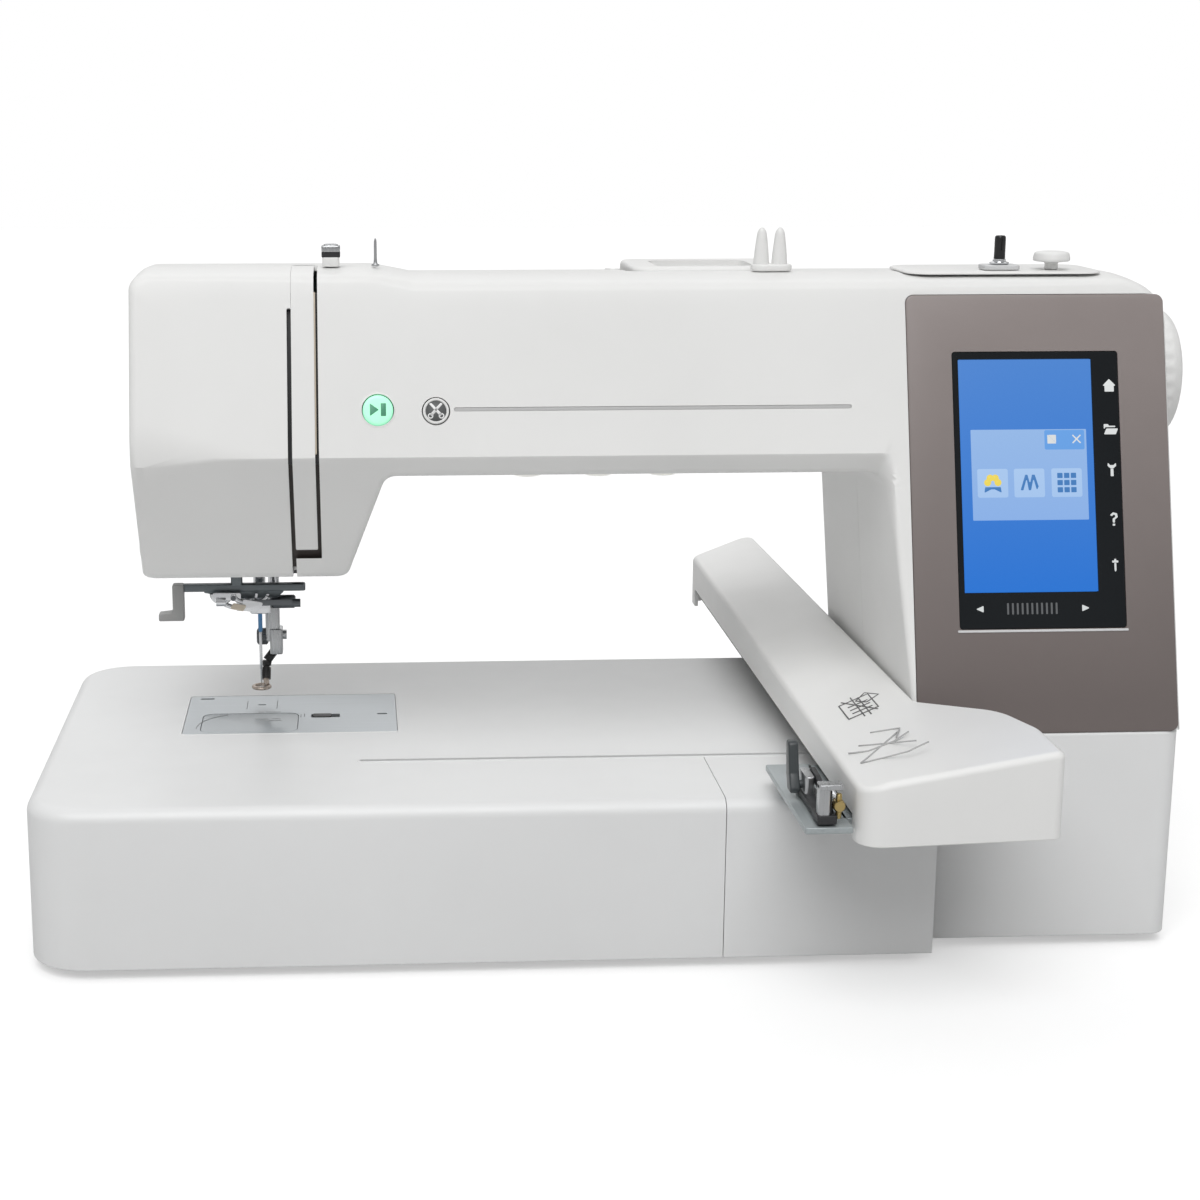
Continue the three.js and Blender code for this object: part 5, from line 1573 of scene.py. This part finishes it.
def plateMarks(p):
    # faint printed lines: a rule beside the needle hole, short words as bars, the lid's arc
    z = p["top"] + 0.1
    made = [
        block("rule", x, x + 0.35, 152 + k * 1.5, 158 + k * 1.5, z, z + 0.06)
        for k, x in enumerate((125.6, 127.4))
    ]
    made += [
        block("word", x, x + w, y, y + 1.1, z, z + 0.06, 0.4)
        for x, w, y in ((102, 7, 150), (110.5, 4.5, 150), (104, 12, 146.5), (107, 8, 163), (103, 3, 163))
    ]
    made += [
        block("rule", needleX + x, needleX + x + 0.35, needleY - 8, needleY + 8, z, z + 0.06)
        for x in (-8, 8)
    ]
    a = np.linspace(0.62 * math.pi, 1.0 * math.pi, 24)
    arcLine = np.stack([96 + 24 * np.cos(a), 134 + 27 * np.sin(a), np.full(24, z)], axis=1)
    made.append(along("lidArc", arcLine, 0.28, 8))
    return joined("plateMarks", made)


dress(plateMarks(plate), "plateMark", "steel", "machine")
# thin bright border where the plate drops into the table
border = slab(
    "plateBorder",
    rectangle(plate["left"] - 0.9, plate["right"] + 0.9, plate["front"] - 0.9, plate["rear"] + 0.9, 2.6),
    plate["top"] - 1.2, plate["top"] + 0.22, (0.1, 0.2)
)
carve(
    border,
    [
        slab(
            "borderHole",
            rectangle(
                plate["left"] - 0.2, plate["right"] + 0.2, plate["front"] - 0.2, plate["rear"] + 0.2, 2.1
            ),
            70, 90
        )
    ]
)
dress(smooth(border), "linerWhite", "shell", "machine")
print("needle plate made")

# lip round the long slot in the table
slotLip = slab(
    "slotLip",
    rectangle(slot["from"] - 1.2, slot["to"] + 0.4, slot["front"] - 1.2, slot["back"] + 0.9, 2.6),
    table["top"] - 0.8, table["top"] + 0.3, (0.1, 0.25)
)
carve(slotLip, [
    block(
        "lipHole", slot["from"] + 0.2, slot["to"] - 0.2, slot["front"] + 0.3, slot["back"] - 0.2, 60, 100, 1.4
    ),
    block("lipSeam", unitLow[0] - 0.35, unitLow[0], 60, 90, 70, 100),
])
dress(smooth(slotLip), "shellCool", "shell", "machine")


# hoop carriage on the arm's left side
carLow, carHigh = layoutBox("hoop_carriage")
hoopLow, hoopHigh = layoutBox("hoop_clamp")
leverLow, leverHigh = layoutBox("hoop_lever")
leverMid = carLow[1] + 42  # the lever's pivot, front to back


def hoopParts():
    x0, x1, y0, y1 = carLow[0], armLow[0], carLow[1], carHigh[1]
    z = carLow[2]
    base = block("carriagePlate", x0, x1 - 1.2, y0 + 1.5, y1, z, z + 2.8, 1.2, 0.4)
    tongue = block("carriageTongue", x1 - 3, x1 + 16, y0 + 14, y1 - 2, z, z + 2.8, 1, 0.3)
    shoe = block("carriageShoe", x1 + 5, x1 + 24, y0 + 24, y1 - 14, z, carHigh[2], 2, 0.5)
    dress(
        smooth(joined("carriagePlate", [base, tongue, shoe])), "plateGrey", "cast_alloy", "hoop_carriage",
        "hoop_carriage"
    )
    left, low, top = hoopLow[0], hoopLow[2], hoopHigh[2]
    post = block("hoopPost", left + 0.2, left + 5.2, y0 + 3, y0 + 9.5, low + 3, top + 0.6, 0.9, 0.5)
    cap = block("hoopCap", left + 0.2, left + 10.5, y0 + 2, y0 + 9, top - 1.6, top + 0.8, 0.8, 0.4)
    ear = block("hoopEar", left + 0.6, left + 5, leverMid - 8, leverMid + 8, low + 2, low + 11.5, 1.6, 0.5)
    link = slab(
        "hoopLink",
        [
            (y0 + 8, low + 3, 1.2), (leverMid - 4, low + 8, 1.5), (leverMid + 6, low + 8, 1.5),
            (leverMid + 6, low + 12.5, 1.5), (leverMid - 6, low + 12, 1.5), (y0 + 8, low + 6.5, 1.2)
        ],
        left + 5.2, left + 7.6, (0.4, 0.4), "x"
    )
    dress(smooth(joined("hoopPost", [post, cap, ear])), "steelBright", "steel", "hoop_carriage", "hoop_clamp")
    foot = block("hoopBase", left - 0.4, left + 8.4, y0 + 2.4, y0 + 14, low, low + 4.0, 1.2, 0.5)
    strap = block("hoopStrap", left, left + 7.6, y0 + 12, leverMid + 12, low, low + 3.4, 1.2, 0.5)
    wedge = block("hoopStop", left + 5.0, left + 6.2, y0 + 4, y0 + 11, low + 2.6, top - 1.4, 0.8, 0.4)
    dress(
        smooth(joined("hoopBase", [foot, strap, wedge, link])), "blackMatte", "black_matte",
        "hoop_carriage"
    )
    screw = knurled("hoopScrew", 2.7, y0 + 2.5, y0 + 8, "y", (left + 9.2, 0, low + 8), 16)
    shank = roundBar("hoopShank", left + 9.2, y0 + 5, 1.3, low + 2, low + 13.4)
    dress(smooth(joined("hoopScrew", [screw, shank]), 50), "brass", "steel", "hoop_carriage")
    turns = np.linspace(0, 2 * math.pi * 7, 240)
    coil = np.stack(
        [left + 9.5 + 2.0 * np.cos(turns), y0 + 10 + turns * 0.3, low + 7.5 + 2.0 * np.sin(turns)], axis=1
    )
    dress(smooth(along("hoopSpring", coil, 0.42, 8), 60), "chrome", "steel", "hoop_carriage")
    lever = slab(
        "hoopLever",
        [
            (leverMid - 5, low + 2.4, 2), (leverMid + 4, low + 2.4, 2), (leverMid + 8, low + 9, 3),
            (leverMid + 10.5, low + 24.5, 2.2), (leverMid + 4, low + 24.5, 2.2), (leverMid, low + 11, 3)
        ],
        leverLow[0], leverLow[0] + 4.6, (1.0, 1.0), "x"
    )
    pivot = turned(
        "hoopPivot",
        [(0.02, leverLow[0] + 4), (1.8, leverLow[0] + 4), (1.8, leverHigh[0]), (0.02, leverHigh[0])], "x",
        (0, leverMid, low + 6.1), 32
    )
    dress(smooth(joined("hoopLever", [lever, pivot])), "leverDark", "black_matte", "hoop_lever", "hoop_lever")


hoopParts()


# raised line drawings on the arm's top
def armLines(a):
    def onTop(points):
        p = np.array(points, float)
        return np.column_stack([p, armTop(p[:, 0], p[:, 1], a) + 0.05])

    strokes = [
        [(386, 14), (386, 36), (401, 41), (401, 19), (386, 14)],
        [(389, 20), (399, 23)], [(389, 25), (399, 28)], [(389, 30), (399, 33)], [(393, 12), (393, 43)],
        [(396, 12), (396, 40)], [(398, 30), (405, 36), (400, 44), (394, 36), (398, 30)],
        [(388, 40), (400, 16)],
        [(378, -46), (400, -22)], [(382, -24), (404, -40)], [(378, -46), (398, -50), (408, -46)],
        [(390, -12), (402, -18), (398, -28)], [(376, -30), (384, -34), (396, -32), (404, -26)],
    ]
    made = []
    for path in strokes:
        path = np.array(path, float)
        t = np.linspace(0, len(path) - 1, 6 * (len(path) - 1) + 1)
        flat = np.stack([np.interp(t, np.arange(len(path)), path[:, k]) for k in range(2)], axis=1)
        made.append(along("stroke", onTop(flat), 0.36, 6))
    return joined("frameDrawing", made[:8]), joined("needleDrawing", made[8:])


frameDrawing, needleDrawing = armLines(arm)
dress(frameDrawing, "drawingDark", "grey_shell", "embroidery_arm")
dress(needleDrawing, "markGrey", "grey_shell", "embroidery_arm")
print("arm details made")


# fittings on top
def topFittings():
    low, high = layoutBox("pretension_guide")
    base = block("guideBase", low[0] + 0.4, high[0] - 0.4, low[1], high[1], low[2], high[2] - 6.2, 1.5, 0.5)
    dress(smooth(base), "shell", "shell", "machine")
    belt = block(
        "guideBelt", low[0], high[0], low[1] + 0.4, high[1] - 0.4, high[2] - 6.3, high[2] - 3.5, 1.2, 0.5
    )
    dress(smooth(belt), "blackMatte", "black_matte", "machine")
    cap = block("guideCap", low[0], high[0], low[1], high[1], high[2] - 3.6, high[2] - 0.8, 1.2, 0.5)
    disc = turned(
        "guideDisc",
        softTurn(
            [
                (0.02, low[0] + 1), (2.2, low[0] + 1), (2.6, low[0] + 2), (2.6, high[0] - 2),
                (2.2, high[0] - 1), (0.02, high[0] - 1)
            ],
            3
        ),
        "x", (0, (low[1] + high[1]) / 2, high[2] - 2.4), 40
    )
    dress(smooth(joined("guideCap", [cap, disc])), "steelBright", "steel", "machine", "pretension_guide")
    low, high = layoutBox("thread_pin")
    x, y = (low[0] + high[0]) / 2, (low[1] + high[1]) / 2
    pin = softTurn(
        [
            (0.02, low[2] - 0.2), (1.9, low[2] - 0.2), (1.9, low[2] + 0.8), (0.75, low[2] + 1.4),
            (0.7, high[2] - 0.6), (0.02, high[2] + 0.6)
        ],
        4, 0.3
    )
    dress(
        smooth(turned("threadPin", pin, "z", (x, y, 0), 28)), "steelBright", "steel", "machine",
        "thread_pin"
    )
    low, high = layoutBox("thread_guide_post")
    y = (low[1] + high[1]) / 2
    foot = block("postFoot", low[0], high[0], low[1], high[1], low[2], low[2] + 3.4, 5, 1)
    made = [foot]
    for x in ((low[0] + high[0]) / 2 - 5, (low[0] + high[0]) / 2 + 4):
        tine = softTurn(
            [
                (0.02, low[2] + 1), (4.1, low[2] + 1), (3.4, low[2] + 10), (2.3, high[2] - 2),
                (0.9, high[2]), (0.02, high[2])
            ],
            4, 0.3
        )
        made.append(turned("tine", tine, "z", (x, y, 0), 36))
    dress(smooth(joined("threadPost", made)), "shell", "shell", "machine", "thread_guide_post")
    low, high = layoutBox("winder_deck")
    deck = slab(
        "winderDeck", rectangle(low[0] - 7, high[0], low[1], high[1], 12), low[2], high[2], (0.1, 0.9),
        perArc=12
    )
    dress(smooth(deck), "shell", "shell", "machine", "winder_deck")
    low, high = layoutBox("winder_stopper")
    x, y = (low[0] + high[0]) / 2, (low[1] + high[1]) / 2
    r = (high[0] - low[0]) / 2
    cap = softTurn(
        [
            (0.02, low[2]), (3.4, low[2]), (3, low[2] + 3.6), (r - 0.6, low[2] + 4), (r, low[2] + 5),
            (r - 0.8, high[2] + 1.2), (r - 4, high[2] + 1.8), (0.02, high[2] + 1.6)
        ],
        4, 0.3
    )
    dress(
        smooth(turned("winderStopper", cap, "z", (x, y, 0), 48)), "shell", "shell", "machine",
        "winder_stopper"
    )
    low, high = layoutBox("winder_carriage")
    slider = block("winderSlider", low[0], high[0], low[1], high[1], low[2], high[2], 3, 0.5)
    dress(smooth(slider), "linerGrey", "black_matte", "winder_carriage", "winder_carriage")
    low, high = layoutBox("winder_spindle")
    x, y = (low[0] + high[0]) / 2, (low[1] + high[1]) / 2
    collar = softTurn(
        [
            (0.02, low[2] - 0.1), (4.6, low[2] - 0.1), (4.8, low[2] + 0.8), (3.2, low[2] + 1.2),
            (3.2, low[2] + 2.4), (0.02, low[2] + 2.4)
        ],
        3, 0.25
    )
    dress(smooth(turned("winderCollar", collar, "z", (x, y, 0), 40)), "chrome", "steel", "winder_spindle")
    spindle = softTurn(
        [
            (0.02, low[2] + 2.5), (2.9, low[2] + 2.5), (2.7, low[2] + 3.4), (2.7, high[2] + 2.6),
            (2.1, high[2] + 3.4), (0.02, high[2] + 3.4)
        ],
        3, 0.25
    )
    piece = turned("winderSpindle", spindle, "z", (x, y, 0), 40)
    carve(piece, [block("spindleSlot", x - 0.3, x + 0.3, y - 5, y + 5, high[2] - 4, high[2] + 6)])
    dress(smooth(piece), "blackSatin", "black_matte", "winder_spindle", "winder_spindle")


def carryHandle():
    low, high = handleLow, handleHigh
    loop = slab(
        "carryHandle", rectangle(low[0], high[0], low[1], high[1], 8), low[2], high[2], (2.4, 2.4),
        perArc=10, steps=7
    )
    hole = slab(
        "gripHole", rectangle(low[0] + 13, high[0] - 13, low[1] + 12, high[1] - 15, 5), low[2] - 6,
        high[2] + 6
    )
    dress(smooth(carve(loop, [hole])), "shell", "shell", "carry_handle", "carry_handle")


def handwheel():
    # a rounded wheel whose rim has finger flutes: r (1 - 0.008 (1 - cos 30a)) on the rim only
    low, high = layoutBox("handwheel")
    r = (high[2] - low[2]) / 2
    x0, x1 = low[0], high[0]
    profile = softTurn(
        [
            (6.1, x0), (r - 4, x0), (r - 0.5, x0 + 4), (r, x0 + 9), (r - 0.8, x1 - 8), (r - 5, x1 - 1.5),
            (r - 10, x1), (r - 14, x1 - 3), (14, x1 - 3.4), (10, x1 - 2.6), (6.1, x1 - 2.4)
        ],
        6, 0.4
    )
    a = np.linspace(0, 2 * math.pi, 360, endpoint=False)
    onRim = (profile[:, :1] > r - 1.6).astype(float)
    radius = profile[:, :1] * (1 - 0.008 * onRim * (1 - np.cos(30 * a)))
    flat = np.stack(
        [radius * np.cos(a), radius * np.sin(a), np.broadcast_to(profile[:, 1:2], radius.shape)], axis=-1
    )
    wheel = ringStack(
        "handwheel", turnTo("x", flat) + np.array([0, (low[1] + high[1]) / 2, (low[2] + high[2]) / 2]),
        closed=True
    )
    dress(smooth(wheel, 40), "shell", "shell", "main_shaft", "handwheel")


topFittings()
carryHandle()
handwheel()


# feet, face cover, mains inlet and power switch
def sideParts():
    for number in range(1, 5):
        low, high = layoutBox(f"foot_{number}")
        x, y, r = (low[0] + high[0]) / 2, (low[1] + high[1]) / 2, (high[0] - low[0]) / 2
        profile = softTurn([(0.02, 0), (r - 2, 0), (r - 0.8, 0.8), (r, 3.9), (0.02, 3.9)], 4, 0.3)
        dress(
            smooth(turned(f"rubberFoot{number}", profile, "z", (x, y, 0), 40)), "rubber", "rubber",
            "machine", f"foot_{number}"
        )
    low, high = layoutBox("face_cover")
    cover = slab(
        "faceCover", rectangle(low[1], high[1], low[2], high[2], 9), low[0], high[0], (0.9, 0.1), "x",
        perArc=10
    )
    dress(smooth(cover), "shell", "shell", "machine", "face_cover")
    low, high = layoutBox("mains_inlet")
    shell = slab(
        "inletShell", rectangle(low[1], high[1], low[2], high[2], 1.6), low[0], high[0], (0.1, 0.4), "x"
    )
    carve(
        shell,
        [
            slab(
                "inletWell", rectangle(low[1] + 2.5, high[1] - 2.5, low[2] + 2.5, high[2] - 2.5, 3),
                low[0] + 4, high[0] + 5, axis="x"
            )
        ]
    )
    pins = [
        turned(
            "pin",
            [
                (0.02, low[0] + 3), (1.7, low[0] + 3), (1.7, high[0] - 4), (0.9, high[0] - 3),
                (0.02, high[0] - 3)
            ],
            "x", (0, (low[1] + high[1]) / 2 + y, (low[2] + high[2]) / 2), 24
        )
        for y in (-4.5, 4.5)
    ]
    dress(smooth(shell), "blackMatte", "black_matte", "machine", "mains_inlet")
    dress(smooth(joined("inletPins", pins)), "brass", "steel", "machine")
    low, high = layoutBox("power_switch")
    z = (low[2] + high[2]) / 2
    rocker = slab(
        "switchRocker",
        [
            (low[0], z - 8, 1), (high[0], z - 10.2, 0.8), (high[0] - 1.6, z, 6),
            (high[0] - 0.8, z + 10.2, 0.8), (low[0], z + 8, 1)
        ],
        low[1], high[1], (0.4, 0.4), "y"
    )
    dress(smooth(rocker), "blackMatte", "black_matte", "power_switch", "power_switch")
    marks = [
        slab(
            "switchBar",
            rectangle((low[1] + high[1]) / 2 - 0.4, (low[1] + high[1]) / 2 + 0.4, z - 7, z - 3.5, 0.2),
            high[0] - 0.9, high[0] - 0.1, (0.05, 0.05), "x"
        )
    ]
    dress(marks[0], "linerWhite", "shell", "power_switch")


sideParts()
print("fittings made")

# inner parts that stay as packed get their finish here
inner = {
    "castAlloy": ["machine_frame", "drive_motor", "arm_chassis"],
    "turnedSteel": [
        "main_shaft", "lower_shaft", "shaft_bearing_1", "shaft_bearing_2", "rotary_hook", "x_rail"
    ],
    "chrome": ["take_up_lever"],
    "blackMatte": ["main_pulley", "motor_pulley", "lifter_lever"],
    "rubber": ["drive_belt", "timing_belt"],
    "board": ["control_board"],
    "clear": ["bobbin"],
    "greyShell": ["base_pan"],
    "shell": ["handle_tray"],
}
for material, names in inner.items():
    for name in names:
        node = bpy.data.objects[name]
        node.data.materials.clear()
        node.data.materials.append(finish[material])

# stage
def makeStage():
    floor = putMesh(
        "floor",
        np.array([[-6000, -3000, -0.3], [7000, -3000, -0.3], [7000, 6000, -0.3], [-6000, 6000, -0.3]]),
        [np.array([[0, 1, 2, 3]])]
    )
    # the floor looks almost white, yet throws back no more light than a pale grey desk
    pale = mouldedPlastic("paleFloor", (0.58, 0.58, 0.58), 0.8, 0.005, 80.0, 0.02)
    nodes, links = pale.node_tree.nodes, pale.node_tree.links
    shader = nodes["Principled BSDF"]
    rays, lift = nodes.new("ShaderNodeLightPath"), nodes.new("ShaderNodeMath")
    lift.operation = "MULTIPLY"
    lift.inputs[1].default_value = 0.46
    links.new(rays.outputs["Is Camera Ray"], lift.inputs[0])
    links.new(lift.outputs["Value"], shader.inputs["Emission Strength"])
    shader.inputs["Emission Color"].default_value = (1, 1, 1, 1)
    floor.data.materials.append(pale)
    world = bpy.data.worlds.new("studio")
    world.use_nodes = True
    nodes, links = world.node_tree.nodes, world.node_tree.links
    ambient = nodes["Background"]
    ambient.inputs["Color"].default_value = (1, 1, 1, 1)
    ambient.inputs["Strength"].default_value = 0.40
    behind = nodes.new("ShaderNodeBackground")  # what the camera sees past the floor
    behind.inputs["Color"].default_value = (1, 1, 1, 1)
    rays, mix = nodes.new("ShaderNodeLightPath"), nodes.new("ShaderNodeMixShader")
    links.new(rays.outputs["Is Camera Ray"], mix.inputs["Fac"])
    links.new(ambient.outputs["Background"], mix.inputs[1])
    links.new(behind.outputs["Background"], mix.inputs[2])
    links.new(mix.outputs["Shader"], nodes["World Output"].inputs["Surface"])
    bpy.context.scene.world = world


def sunLight(name, towardsFront, towardsLeft, width, strength):
    # an even soft light; angles in degrees away from straight overhead, width of its disc in degrees
    data = bpy.data.lights.new(name, "SUN")
    data.energy = strength
    data.angle = math.radians(width)
    light = bpy.data.objects.new(name, data)
    light.rotation_euler = (math.radians(towardsFront), math.radians(towardsLeft), 0)
    bpy.context.scene.collection.objects.link(light)


makeStage()
sunLight("key", 35, -10, 45, 1.72)
sunLight("overhead", 0, 0, 70, 0.35)
sunLight("behind", -52, 0, 50, 0.42)
